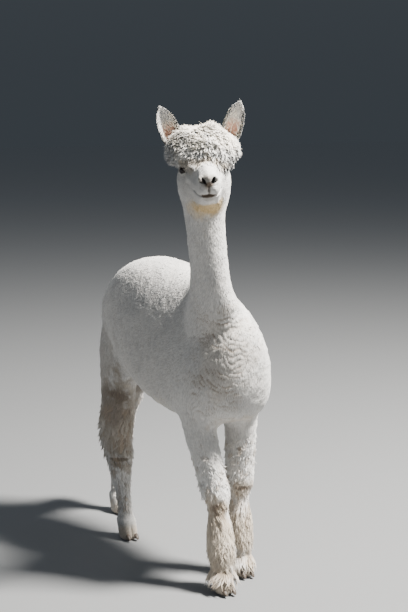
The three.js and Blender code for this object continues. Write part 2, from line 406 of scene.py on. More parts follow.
# The body's lines and patches are measured in millimetres from the ground below the withers, where the
# point midway between the eyes is at EYE_CENTRE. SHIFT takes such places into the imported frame.
EYE_CENTRE = (-112, -97, 1272)
SHIFT = HEAD.origin - np.array(EYE_CENTRE) * MM


class Region(Enum):
    """A part of the body that has a line of its own."""

    TRUNK = 0
    NECK = 1
    HEAD = 2
    TAIL = 3
    FORE_LEFT = 4
    FORE_RIGHT = 5
    HIND_LEFT = 6
    HIND_RIGHT = 7

    @property
    def is_fore(self) -> bool:
        """Whether it is a foreleg."""
        return self in (Region.FORE_LEFT, Region.FORE_RIGHT)


@dataclass
class Line:
    """The middle line of a part, with its radius at each station."""

    region: Region
    stations: Array
    radii: Array

    @classmethod
    def of(cls, region: Region, rows: Sequence[Sequence[float]]) -> "Line":
        """A line from rows of x, y, z and radius in millimetres, before the shift."""
        table = np.array(rows, float) * MM
        return cls(region, table[:, :3] + SHIFT, table[:, 3])

    def nearest(self, points: Array) -> tuple[Array, Array, Array, Array]:
        """Measures points against the line.

        Args:
            points: Places, one row each.

        Returns:
            Distance over the line's radius there, share of the line's length passed, the nearest
            point on the line, and the line's direction there.
        """
        steps = np.diff(self.stations, axis=0)
        lengths = np.linalg.norm(steps, axis=1)
        passed = np.concatenate([[0], np.cumsum(lengths)])
        best = np.full(len(points), np.inf)
        share = np.zeros(len(points))
        foot = np.zeros_like(points)
        way = np.zeros_like(points)
        for i, (start, step, length) in enumerate(zip(self.stations, steps, lengths)):
            along = np.clip((points - start) @ step / length**2, 0, 1)
            at = start + along[:, None] * step
            radius = self.radii[i] + along * (self.radii[i + 1] - self.radii[i])
            ratio = np.linalg.norm(points - at, axis=1) / radius
            closer = ratio < best
            best = np.where(closer, ratio, best)
            share = np.where(closer, (passed[i] + along * length) / passed[-1], share)
            foot = np.where(closer[:, None], at, foot)
            way = np.where(closer[:, None], step / length, way)
        return best, share, foot, way


def head_line() -> Line:
    """The head's line, from the poll to the lips."""
    rows = np.array([[-70, -30, 88], [-10, -34, 80], [60, -28, 52], [128, -16, 34]], float)
    places = np.column_stack([np.zeros(len(rows)), rows[:, :2]])
    return Line(Region.HEAD, HEAD.world(places), rows[:, 2] * MM)


LINES = [
    Line.of(Region.TRUNK, [(0, -150, 670, 80), (0, 40, 690, 150), (-5, 290, 740, 200),
                           (-18, 510, 780, 175), (-30, 640, 775, 90)]),
    Line.of(Region.NECK, [(-16, 0, 800, 105), (-63, -44, 925, 75), (-85, -56, 1090, 66),
                          (-94, -58, 1190, 70)]),
    head_line(),
    Line.of(Region.TAIL, [(-31, 655, 880, 24), (-34, 690, 830, 36), (-35, 692, 760, 38),
                          (-36, 686, 640, 24)]),
    Line.of(Region.FORE_LEFT, [(84, 20, 600, 60), (78, 20, 500, 58), (75, 26, 270, 52),
                               (70, 12, 90, 50), (70, 0, 0, 38)]),
    Line.of(Region.FORE_RIGHT, [(-86, 16, 600, 60), (-82, 0, 500, 58), (-48, -62, 270, 52),
                                (-48, -92, 90, 50), (-54, -106, 0, 38)]),
    Line.of(Region.HIND_LEFT, [(26, 585, 700, 90), (16, 622, 600, 82), (12, 780, 356, 60),
                               (6, 790, 90, 33), (4, 776, 0, 36)]),
    Line.of(Region.HIND_RIGHT, [(-98, 505, 700, 90), (-108, 514, 600, 82), (-102, 552, 334, 60),
                                (-91, 511, 90, 33), (-91, 496, 0, 36)]),
]


@dataclass
class Survey:
    """What the body's lines say about a set of points: one row or value for each point."""

    weights: Array  # how much each line counts, a column a line
    region: Array  # number of the line that counts most
    share: Array  # share of that line passed
    foot: Array  # nearest point of that line
    lie: Array  # direction of the lie of the coat, not yet laid on the surface

    def of(self, region: Region) -> Array:
        """How much one region counts."""
        return self.weights[:, region.value]

    def fore(self) -> Array:
        """How much the forelegs count."""
        return self.of(Region.FORE_LEFT) + self.of(Region.FORE_RIGHT)

    def hind(self) -> Array:
        """How much the hind legs count."""
        return self.of(Region.HIND_LEFT) + self.of(Region.HIND_RIGHT)


class Anatomy:
    """Finds the part of the body, the lie of the coat and a flat chart for any point."""

    SHARPNESS = 7.0  # how suddenly one part takes over from another
    TRUNK_SINK = np.array([0, 0, -0.8])
    TRUNK_FRONT, TRUNK_BACK = -0.45, -0.15  # between these its lie turns from down to backwards as well
    NECK_SWEEP = np.array([0, 0.25, 0])
    HEAD_LIE = (0, -1.0, -0.25)  # in the head's frame
    CHART_COLUMNS = 3
    CHART_MARGIN = 0.01

    def survey(self, points: Array) -> Survey:
        """Measures points against every line.

        Args:
            points: Places in the animal's frame.

        Returns:
            The survey.
        """
        found = [line.nearest(points) for line in LINES]
        ratios = np.stack([row[0] for row in found], 1)
        weights = np.exp(-self.SHARPNESS * (ratios - ratios.min(1, keepdims=True)))
        weights /= weights.sum(1, keepdims=True)
        region = ratios.argmin(1)
        rows = np.arange(len(points))
        share = np.stack([row[1] for row in found], 1)[rows, region]
        foot = np.stack([row[2] for row in found], 1)[rows, region]
        ways = [self._lie_on(line.region, row[3], points) for line, row in zip(LINES, found)]
        lie = unit(sum(weight[:, None] * way for weight, way in zip(weights.T, ways)))
        return Survey(weights, region, share, foot, lie)

    def _lie_on(self, region: Region, way: Array, points: Array) -> Array:
        """Where the coat of one part points, given the line's direction.

        Args:
            region: The part.
            way: Direction of its line at each point.
            points: Places in the animal's frame.

        Returns:
            Directions, or one that holds for all the points.
        """
        if region is Region.TRUNK:
            behind = ease(self.TRUNK_FRONT, self.TRUNK_BACK, points[:, 1])[:, None]
            return unit(way * (0.25 + 0.75 * behind) + self.TRUNK_SINK)
        if region is Region.NECK:
            return unit(self.NECK_SWEEP - way)
        if region is Region.HEAD:
            return unit(HEAD.direction([self.HEAD_LIE]))
        return way

    def chart(self, points: Array, survey: Survey) -> Array:
        """Places on a flat chart of the skin: each part unrolled round its line, in its own field.

        Args:
            points: Places on the skin.
            survey: Their survey.

        Returns:
            Two coordinates from 0 to 1 for each point.
        """
        out = points - survey.foot
        level = np.arctan2(out[:, 0], out[:, 1])
        upright = np.arctan2(out[:, 0], -out[:, 2])
        lengthwise = np.isin(survey.region, [Region.TRUNK.value, Region.HEAD.value])
        angle = np.where(lengthwise, upright, level) / math.tau + 0.5
        field_size = 1 / self.CHART_COLUMNS
        usable = field_size - 2 * self.CHART_MARGIN
        column = survey.region % self.CHART_COLUMNS
        row = survey.region // self.CHART_COLUMNS
        corner = np.stack([column, row], 1) * field_size + self.CHART_MARGIN
        return corner + np.stack([angle, survey.share], 1) * usable


ANATOMY = Anatomy()


# ---------------- finishes


@dataclass(frozen=True)
class Patch:
    """A soft-edged patch of colour in an ellipsoid."""

    centre: Triple
    radii: Triple
    colour: Triple
    strength: float = 1.0
    in_head: bool = False
    begun: float = 1.15  # distance from the middle, over the radii, at which the patch begins
    full: float = 0.55

    def mask(self, graph: Graph, at: Signal, ragged: Signal) -> Signal:
        """The patch's share at each point, with a ragged edge.

        Args:
            graph: The material's graph.
            at: The point's place.
            ragged: What moves the patch's edge in and out.

        Returns:
            From 0 outside the patch to its strength.
        """
        if self.in_head:
            left, forward, up = self.centre
            centre = HEAD.world([[left, forward, up]])[0]
            turn = HEAD.rotation.to_euler()
        else:
            centre = np.array(self.centre) * MM + SHIFT
            turn = Euler((0, 0, 0))
        scale = [radius * MM for radius in self.radii]
        sockets = {"Vector": at, "Location": tuple(centre), "Rotation": tuple(turn), "Scale": scale}
        inside = graph.add("ShaderNodeMapping", {"vector_type": "TEXTURE"}, sockets)
        return (graph.length(inside) + ragged).step(self.begun, self.full) * self.strength


WHITE = (0.80, 0.785, 0.755)
CREAM = (0.93, 0.865, 0.745)
BEIGE = (0.58, 0.49, 0.38)
BROWN = (0.150, 0.105, 0.070)
GREY = (0.60, 0.595, 0.59)
GREY_BROWN = (0.31, 0.275, 0.235)
# partly dirt, partly painted shade on the hind quarters
DIRT_AND_SHADE = (0.33, 0.27, 0.20)
# painted light: yellow reflected up from dry grass
PAINTED_GRASS_BOUNCE = (0.73, 0.53, 0.25)
PINK = (0.43, 0.235, 0.175)
# dark skin, also painted as the shade in the nostrils and in grooves of nose and mouth
DARK_SKIN_AND_SHADE = (0.028, 0.024, 0.024)

PATCHES = [
    Patch((0, -40, 92), (136, 122, 76), CREAM, 0.9, True),  # topknot
    Patch((-6, 54, 30), (74, 26, 20), BEIGE, 0.75, True),  # painted shade on the underside of the fringe over the brow
    # painted yellow light reflected up from dry grass, under the jaw and chin
    Patch((-10, 46, -110), (84, 62, 33), PAINTED_GRASS_BOUNCE, 0.45, True),
    Patch((10, 66, -104), (60, 52, 30), PAINTED_GRASS_BOUNCE, 0.95, True),  # painted reflected light on the wool under the chin
    Patch((-50, 34, 12), (26, 34, 17), BEIGE, 0.5, True),  # shaded brows
    Patch((50, 34, 12), (26, 34, 17), BEIGE, 0.5, True),
    Patch((-6, 140, 0), (32, 22, 22), GREY_BROWN, 0.75, True),  # nose
    Patch((1, 144, -12), (15, 18, 9), BROWN, 0.85, True),
    Patch((0, 146, -28), (6, 18, 16), BROWN, 0.6, True),
    Patch((-2, 134, -46), (29, 22, 8), BROWN, 0.95, True),  # lips
    Patch((0, 122, -58), (19, 22, 12), GREY_BROWN, 0.35, True),  # chin: the dark lower lip, with the shade under the upper lip painted in
    Patch((-50, -110, 720), (115, 80, 130), BEIGE, 0.28),  # breast
    Patch((-83, -98, 250), (66, 50, 50), BEIGE, 0.85),  # the forward knee
    Patch((-82, -106, 250), (52, 36, 27), BROWN, 1.0),
    Patch((70, -20, 276), (56, 54, 40), BEIGE, 0.7),  # the other knee
    Patch((70, -32, 284), (50, 38, 9), BROWN, 0.7),
    Patch((45, -24, 411), (12, 14, 11), BROWN, 0.8),
    Patch((-66, -100, 130), (80, 90, 130), BEIGE, 0.9),  # wool of the lower legs
    Patch((76, 10, 130), (80, 90, 120), BEIGE, 0.85),
    Patch((-118, 500, 420), (96, 150, 190), DIRT_AND_SHADE, 0.72),  # thigh wool: partly dirt, partly painted shade of the hind quarters
    # painted shade over the upper hind quarter
    Patch((-170, 560, 600), (80, 130, 150), DIRT_AND_SHADE, 0.35),
    Patch((-146, 486, 455), (60, 120, 76), BROWN, 0.42),
    Patch((-150, 440, 500), (60, 60, 30), BROWN, 0.5),
    Patch((20, 650, 450), (96, 170, 170), GREY_BROWN, 0.6),
    Patch((14, 640, 510), (66, 100, 60), BROWN, 0.4),
    Patch((-120, 500, 277), (44, 50, 8), BROWN, 0.8),  # painted shade in and round the crease at the hock
    Patch((-120, 500, 262), (50, 56, 20), GREY_BROWN, 0.4),
    Patch((10, -110, 506), (100, 80, 34), BEIGE, 0.6),  # between the forelegs
    Patch((-10, 250, 530), (150, 260, 40), CREAM, 0.7),  # belly
    Patch((-35, 720, 640), (60, 60, 60), BEIGE, 0.5),  # end of the tail
    *(Patch((left, back - 28, 18), (60, 76, 34), BEIGE, 0.75)
      for left, back in ((-54, -104), (70, 0), (4, 778), (-91, 498))),  # feet
]


class Surface(Enum):
    """What a coat material is for."""

    SKIN = "skin"
    SHORT = "short wool"
    LONG = "long wool"


@dataclass(frozen=True)
class CoatFinish:
    """Wool and hair, with the markings that skin and coat share."""

    surface: Surface
    roughness: float = 0.92
    spread: float = 0.15  # of lightness from lock to lock
    deep: Triple = (0.42, 0.335, 0.26)  # what is left of a colour under the deepest painted shade, at roots and in folds
    stain: Triple = (0.36, 0.28, 0.20)
    deepest: float = -1.0  # place along a lock, less its fold, where the painted shade is darkest
    clear: float = 0.75  # place from which no shade is painted
    dust: float = 0.65  # the most that dust hides of the white
    raggedness: float = 1.9  # of the patches' edges
    grain: float = 520.0  # of the bump that stands for single fibres
    grain_depth: float = 0.0012
    sheen: float = 0.3

    def material(self) -> Material:
        """Builds the material."""
        graph = new_graph(f"coat_{self.surface.name.lower()}")
        at = graph.place()
        colour = self._markings(graph, at)
        if self.surface is Surface.SKIN:
            colour = self._bare_skin(graph, at, colour)
        else:
            colour = self._locks(graph, colour)
        graph.bump(graph.noise(at, self.grain, 3.0, 0.6), 0.3, self.grain_depth)
        sockets = {"Base Color": colour, "Roughness": self.roughness, "Specular IOR Level": 0.2}
        if self.surface is not Surface.SKIN:
            sockets |= {"Sheen Weight": self.sheen, "Sheen Roughness": 0.6}
        return graph.finish(sockets)

    def _markings(self, graph: Graph, at: Signal) -> Signal:
        """White with soft grey dust, and the patches.

        Args:
            graph: The material's graph.
            at: The point's place.

        Returns:
            The colour.
        """
        broad = graph.noise(at, 9.0, 3.0)
        fine = graph.noise(at, 85.0, 2.0)
        ragged = (graph.noise(at, 26.0, 4.0, 0.65) - 0.5) * self.raggedness
        dusty = (broad * 0.55 + fine * 0.45).step(0.40, 0.68) * self.dust
        colour = graph.mix(dusty, WHITE, GREY)
        for patch in PATCHES:
            colour = graph.mix(patch.mask(graph, at, ragged), colour, patch.colour)
        return colour

    def _locks(self, graph: Graph, colour: Signal) -> Signal:
        """Darker and warmer towards the root and in folds, as painted shade, and a little different from
        lock to lock.
        """
        along = graph.attribute("along")
        tone = graph.attribute("tone")
        colour = graph.mix(graph.attribute("stain"), colour, self.stain)
        shaded = graph.mix(1.0, colour, self.deep, "MULTIPLY")
        colour = graph.mix(along.step(self.deepest, self.clear), shaded, colour)
        return graph.tinted(colour, 1 - self.spread + 2 * self.spread * tone)

    def _bare_skin(self, graph: Graph, at: Signal, colour: Signal) -> Signal:
        """Darker mottled skin, partly painted shade between locks; dark skin at the nostrils, lips and lids,
        partly painted shade in nostrils and grooves; and pink in the ears.
        """
        # partly the skin's own mottling, partly painted shade in the gaps between locks
        colour = graph.tinted(colour, graph.noise(at, 160.0, 2.0) * 0.3 + 0.68)
        colour = graph.mix(graph.attribute("pink"), colour, PINK)
        return graph.mix(graph.attribute("bare"), colour, DARK_SKIN_AND_SHADE)


@dataclass(frozen=True)
class EyeFinish:
    """A dark, wet eye."""

    pupil: Triple = (0.002, 0.002, 0.003)
    iris: Triple = (0.030, 0.014, 0.008)
    rim: Triple = (0.010, 0.007, 0.006)
    white: Triple = (0.30, 0.24, 0.20)
    roughness: float = 0.045
    index: float = 1.35  # of refraction, as water

    def material(self) -> Material:
        """Builds the material."""
        graph = new_graph("eye")
        at = graph.place()
        fibres = graph.noise(at, 900.0, 3.0)
        pupil = graph.attribute("pupil").step(1.12, 0.92)
        angle = graph.attribute("angle")
        iris = graph.mix(fibres.step(0.3, 0.7), self.rim, self.iris)
        colour = graph.mix(angle.step(0.80, 0.92), iris, self.rim)
        colour = graph.mix(angle.step(0.95, 1.05), colour, self.white)
        colour = graph.mix(pupil, colour, self.pupil)
        return graph.finish({"Base Color": colour, "Roughness": self.roughness, "IOR": self.index})


@dataclass(frozen=True)
class HornFinish:
    """A dark toenail with growth lines and a dusty root."""

    dark: Triple = (0.055, 0.042, 0.034)
    pale: Triple = (0.24, 0.19, 0.145)

    def material(self) -> Material:
        """Builds the material."""
        graph = new_graph("nail_horn")
        at = graph.place()
        streaks = graph.noise(graph.vector("MULTIPLY", at, (900.0, 120.0, 900.0)), 1.0, 2.0)
        rings = graph.noise(graph.vector("MULTIPLY", at, (60.0, 700.0, 60.0)), 1.0, 1.0)
        along = graph.attribute("along")
        colour = graph.mix(streaks.step(0.35, 0.7) * (1 - along * 0.6), self.dark, self.pale)
        graph.bump(rings, 0.4, 0.0006)
        return graph.finish({"Base Color": colour, "Roughness": streaks * 0.25 + 0.32})


@dataclass(frozen=True)
class LidFinish:
    """The wet, dark edge of an eyelid."""

    dark: Triple = (0.018, 0.014, 0.013)
    pale: Triple = (0.05, 0.04, 0.036)

    def material(self) -> Material:
        """Builds the material."""
        graph = new_graph("lid_edge")
        grain = graph.noise(graph.place(), 700.0, 2.0)
        colour = graph.mix(grain, self.dark, self.pale)
        return graph.finish({"Base Color": colour, "Roughness": grain * 0.3 + 0.25})


@dataclass(frozen=True)
class FloorFinish:
    """A plain grey studio floor."""

    colour: Triple = (0.225, 0.23, 0.235)
    roughness: float = 0.85

    def material(self) -> Material:
        """Builds the material."""
        graph = new_graph("studio_floor")
        return graph.finish({"Base Color": self.colour, "Roughness": self.roughness})


# ---------------- the skin


@dataclass
class EyeSocket:
    """One eye's own frame in the head, in millimetres."""

    side: int
    place: Triple = (54, 1, 1)  # left, forward, up; mirrored for the right eye
    radius: float = 16.0
    outward: float = math.radians(57)  # the eye's axis, from straight ahead
    slant: float = math.radians(9)  # inner corner below the outer one
    rise: float = 0.02  # of the axis
    reach: Triple = (math.radians(56), math.radians(37), math.radians(29))  # along, up, down
    fullness: float = 1.7  # of the almond: 2 is an oval, less is more pointed at its corners

    def __post_init__(self) -> None:
        """Works out the eye's axes."""
        mirror = np.array([self.side, 1, 1])
        axis = np.array([math.sin(self.outward), math.cos(self.outward), self.rise])
        level = np.array([-math.cos(self.outward), math.sin(self.outward), 0.0])
        up = np.array([0.0, 0.0, 1.0])
        inner = unit(level * math.cos(self.slant) - up * math.sin(self.slant))
        self.centre = np.array(self.place) * mirror
        self.axis = unit(axis) * mirror
        self.inner = inner * mirror
        self.up = unit(level * math.sin(self.slant) + up * math.cos(self.slant)) * mirror

    def angles(self, places: Array) -> tuple[Array, Array, Array]:
        """Angles of places from the axis, inwards and upwards, and their distance from the centre."""
        out = places - self.centre
        ahead = out @ self.axis
        inwards = np.arctan2(out @ self.inner, ahead)
        upwards = np.arctan2(out @ self.up, ahead)
        return inwards, upwards, np.linalg.norm(out, axis=1)

    def opening(self, inwards: Array, upwards: Array) -> Array:
        """1 on the edge of the almond between the lids, less inside it."""
        along, above, below = self.reach
        height = np.where(upwards > 0, above, below)
        return np.sqrt((np.abs(inwards) / along) ** self.fullness + (np.abs(upwards) / height) ** 2)

    def edge(self, turns: Array, radius: float) -> Array:
        """Points on the edge of the lids, in the head's frame."""
        along, above, below = self.reach
        cosine = np.sign(np.cos(turns)) * np.abs(np.cos(turns)) ** (2 / self.fullness)
        inwards = along * cosine
        upwards = np.where(np.sin(turns) > 0, above, below) * np.sin(turns)
        ray = self.axis + np.tan(inwards)[:, None] * self.inner + np.tan(upwards)[:, None] * self.up
        return self.centre + unit(ray) * radius


EYES = {name: EyeSocket(side) for name, side in SIDES.items()}
FAR_OFF = 9.0  # put on a ratio where a feature has no part


class FaceSculptor:
    """Models folds, lips, nostrils and lids on the skin, in the head's frame and in millimetres."""

    # Each form: left, forward and up of its middle, its reach along the same axes, and its height.
    FORMS = (
        ((31, 84, -2), (18, 40, 24), -6.0),  # hollow beside the bridge of the nose
        ((0, 92, 26), (18, 52, 16), 2.2),  # bridge of the nose
        ((46, 46, -16), (20, 34, 16), 2.5),  # cheekbone
        ((64, -28, -52), (30, 46, 44), 2.5),  # jaw muscle
        ((60, 8, 26), (18, 26, 11), 4.0),  # brow
        ((40, 62, -70), (22, 40, 30), -4.0),  # hollow between chin and cheek
        ((23, 130, 6), (12, 17, 17), 4.2),  # wing of the nose
        ((0, 138, 8), (9, 12, 12), 1.8),  # tip of the nose
        ((15, 130, -28), (16, 18, 17), 4.6),  # half of the upper lip
        ((0, 122, -60), (20, 20, 11), 3.4),  # lower lip and chin
    )
    WING_EDGE = ((24, 131, 5), (8, 10, 8), 2.4)  # raised once the nostril is sunk
    MOUTH = ((0, 134, -43), (12, 131, -46), (24, 118, -47), (33, 98, -43), (37, 82, -39))
    # Each groove: its path, width and depth, and how far from the path the skin is bare and dark, partly its
    # own dark skin and partly painted shade in the groove.
    GROOVES = (
        (MOUTH, 5.0, 5.5, 0.0),
        (MOUTH[:3], 2.2, 1.4, 1.5),  # between the lips
        (((0, 141, -12), (0, 138, -24), (0, 133, -43)), 4.4, 4.2, 1.1),  # cleft of the upper lip
        (((0, 142, -14), (4, 142, -13), (8, 140, -9)), 5.0, 1.5, 2.3),  # from the cleft to the nostril
    )
    # The nostril's tail: a shallow groove whose dark skin is painted shadow under the wing of the nose.
    NOSTRIL_TAIL = (((14, 138, -6), (20, 134, -6), (26, 129, -4)), 5.0, 3.2, 2.0)
    THROAT = (((0, 60, -134), (40, 44, -128), (74, 0, -112), (84, -50, -104)), 12.0, 4.0, 0.0)
    LID_TOP = 1.16  # the thickest part of a lid, and where it has died away, over the eye's opening
    LID_END = 2.1
    TEAR_LINE = (((41, 27, -9), (43, 38, -18), (42, 50, -28)), 5.0, 1.6, 0.0)

    def __init__(self, mesh: Mesh) -> None:
        """Starts on a mesh."""
        self.mesh = mesh
        self.points = HEAD.local(points_of(mesh))
        self.bare = np.zeros(len(self.points))
        self.refresh()

    def refresh(self) -> None:
        """Writes the points back and measures the normals again."""
        set_points(self.mesh, HEAD.world(self.points))
        self.normals = normals_of(self.mesh) @ HEAD.axes.T

    def swell(self, centre: Triple, radii: Triple, amount: float) -> None:
        """Raises or sinks a soft-edged place on both sides.

        Args:
            centre: Left, forward and up of its middle, on the left side.
            radii: Its reach along the same axes.
            amount: How far the middle goes; below 0 it sinks.
        """
        for side in (1, -1) if centre[0] else (1,):
            mirror = np.array([side, 1, 1])
            distance = np.sum(((self.points - np.array(centre) * mirror) / radii) ** 2, axis=1)
            share = np.clip(1 - distance, 0, 1)[:, None] ** 2
            self.points += share * amount * self.normals

    def distance_to(self, path: Sequence[Triple]) -> Array:
        """Distance of every point from a path."""
        best = np.full(len(self.points), np.inf)
        for start, end in zip(np.array(path[:-1], float), np.array(path[1:], float)):
            step = end - start
            along = np.clip((self.points - start) @ step / (step @ step), 0, 1)
            best = np.minimum(best, np.linalg.norm(self.points - start - along[:, None] * step, axis=1))
        return best

    def groove(self, path: Sequence[Triple], width: float, depth: float, stain: float) -> None:
        """Cuts a groove along a path on both sides.

        Args:
            path: Points on the skin, on the left side or on the middle line.
            width: Distance from the path at which the groove has almost ended.
            depth: Depth at its middle.
            stain: How far from the path the skin is bare and dark, partly painted shade in the groove.
        """
        for side in (1, -1):
            mirrored = [(left * side, forward, up) for left, forward, up in path]
            distance = self.distance_to(mirrored)
            share = np.exp(-((distance / (0.6 * width)) ** 2))
            if all(left == 0 for left, _, _ in path):
                share *= 0.5
            self.points -= share[:, None] * depth * self.normals
            if stain:
                self.bare = np.maximum(self.bare, ease(stain * 1.25, stain * 0.75, distance))

    def pit(self, centre: Triple, radii: tuple[float, float], tilt: float, depth: float,
            stain: float) -> None:
        """Sinks a slanting oval hole on both sides, its inside painted dark as the shade deep in it.

        Args:
            centre: Left, forward and up of its middle, on the left side.
            radii: Half its width and half its height.
            tilt: Turn of its upper end outwards.
            depth: How deep its middle goes.
            stain: How far out the skin is painted dark as shade, in radii.
        """
        for side in (1, -1):
            out = self.points - np.array(centre) * (side, 1, 1)
            left, up = out[:, 0] * side, out[:, 2]
            across = left * math.cos(tilt) - up * math.sin(tilt)
            along = left * math.sin(tilt) + up * math.cos(tilt)
            ratio = np.sqrt((across / radii[0]) ** 2 + (along / radii[1]) ** 2)
            ratio += FAR_OFF * (np.abs(out[:, 1]) > 16)
            inward = unit(np.array([-0.25 * side, -1.0, 0.15]))
            self.points += (ease(1.25, 0.25, ratio) * depth)[:, None] * inward
            self.bare = np.maximum(self.bare, ease(stain * 1.12, stain * 0.9, ratio))

    def open_eye(self, eye: EyeSocket) -> None:
        """Makes the lids round one eyeball, in a shallow socket."""
        inwards, upwards, radius = eye.angles(self.points)
        facing = (self.points - eye.centre) @ eye.axis > -2
        near = facing & (radius < 42)
        ring = eye.opening(inwards, upwards)
        sunk = self.points - (ease(2.9, 1.5, ring) * ease(42, 30, radius))[:, None] * 2.5 * eye.axis
        radius = np.linalg.norm(sunk - eye.centre, axis=1)
        edge, top = eye.radius + 0.8, eye.radius + 2.6
        lid = np.interp(ring, [0, 0.90, 1.0, self.LID_TOP], [10.0, 10.5, edge, top])
        blend = ease(self.LID_TOP, self.LID_END, ring)
        wanted = np.where(ring < self.LID_TOP, lid, (1 - blend) * top + blend * radius)
        moved = eye.centre + (sunk - eye.centre) * (wanted / np.maximum(radius, 1e-6))[:, None]
        self.points = np.where(near[:, None], moved, self.points)
        self.bare = np.maximum(self.bare, near * ease(1.24, 1.08, ring))

    def model(self) -> None:
        """Works from the broad forms to the fine ones."""
        for centre, radii, amount in self.FORMS:
            self.swell(centre, radii, amount)
        self.refresh()
        for path, width, depth, stain in self.GROOVES:
            self.groove(path, width, depth, stain)
        # the nostrils, with their insides painted dark as shade
        self.pit((13.5, 138, -1), (5.0, 10.5), math.radians(32), 11.0, 0.98)
        self.refresh()
        self.groove(*self.NOSTRIL_TAIL)
        self.swell(*self.WING_EDGE)
        self.refresh()
        self.groove(*self.THROAT)
        for eye in EYES.values():
            self.open_eye(eye)
        self.groove(*self.TEAR_LINE)
        self.refresh()


@dataclass
class EarShape:
    """An ear as a thick scooped leaf, in the head's frame. Widths are half widths."""

    side: int
    root: Triple = (66, -42, 36)
    tip: Triple = (113, -46, 170)
    widths: Profile = ((0, 17), (0.2, 26), (0.42, 29.5), (0.62, 28.5), (0.8, 24), (0.92, 16), (1, 4))
    scoop: Profile = ((0, 21), (0.2, 18), (0.45, 13), (0.75, 8), (1, 1.5))  # depth behind its rim
    thickness: float = 3.2
    opening: float = math.radians(-8)  # turned outwards from straight ahead
    columns: int = 26
    rows: int = 40

    def frame(self) -> tuple[Array, Array, Array, Array]:
        """Root, direction to the tip, direction across and direction that the ear faces."""
        mirror = np.array([self.side, 1, 1])
        root = np.array(self.root) * mirror
        along = np.array(self.tip) * mirror - root
        facing = np.array([math.sin(self.opening) * self.side, math.cos(self.opening), 0.0])
        facing = unit(facing - along * (facing @ along) / (along @ along))
        across = unit(np.cross(along, facing))
        return root, along, across, facing

    def sheet(self, share: Array, across: Array, inset: float) -> Array:
        """Points on the leaf.

        Args:
            share: Share of the way from root to tip.
            across: From -1 at one rim to 1 at the other.
            inset: How far behind the front surface.

        Returns:
            Places in the head's frame.
        """
        root, along, sideways, facing = self.frame()
        half = np.interp(share, *zip(*self.widths))
        depth = np.interp(share, *zip(*self.scoop))
        curl = across * math.pi * (0.5 + 0.22 * (1 - share) ** 2)
        behind = depth * np.cos(curl) + inset
        lean = 7.0 * np.sin(share * math.pi) * np.ones_like(across)
        middle = root + share[..., None] * along
        return (middle + (half - 0.3 * inset)[..., None] * np.sin(curl)[..., None] * sideways
                - (behind - lean * 0.3)[..., None] * facing)

    def build(self) -> tuple[Array, Array, Array, Array]:
        """Makes the leaf's two sheets and the wall round its rim.

        Returns:
            Points, triangles, how pink the skin is, and 1 inside the rim of the hollow.
        """
        rows = np.linspace(0, 1, self.rows) ** 0.9
        share, across = np.meshgrid(rows, np.linspace(-1, 1, self.columns), indexing="ij")
        front = self.sheet(share, across, 0.0).reshape(-1, 3)
        back = self.sheet(share, across, self.thickness).reshape(-1, 3)
        pink = (ease(0.85, 0.3, np.abs(across)) * ease(0.85, 0.45, share)).ravel()
        grid = np.arange(self.rows * self.columns).reshape(self.rows, self.columns)
        quads = np.stack([grid[:-1, :-1], grid[:-1, 1:], grid[1:, 1:], grid[1:, :-1]], -1).reshape(-1, 4)
        rim = np.concatenate([grid[0], grid[1:, -1], grid[-1, -2::-1], grid[-2:0:-1, 0]])
        after = np.roll(rim, -1)
        size = grid.size
        walls = np.stack([after, rim, rim + size, after + size], 1)
        faces = np.concatenate([quads, quads[:, ::-1] + size, walls])
        triangles = np.concatenate([faces[:, [0, 1, 2]], faces[:, [0, 2, 3]]])
        points = np.concatenate([front, back])
        inside = (ease(0.45, 0.62, np.abs(across)) * (share > 0.08)).ravel()
        return (points, triangles[:, ::-1], np.concatenate([pink, np.zeros(size)]),
                np.concatenate([inside, np.zeros(size)]))


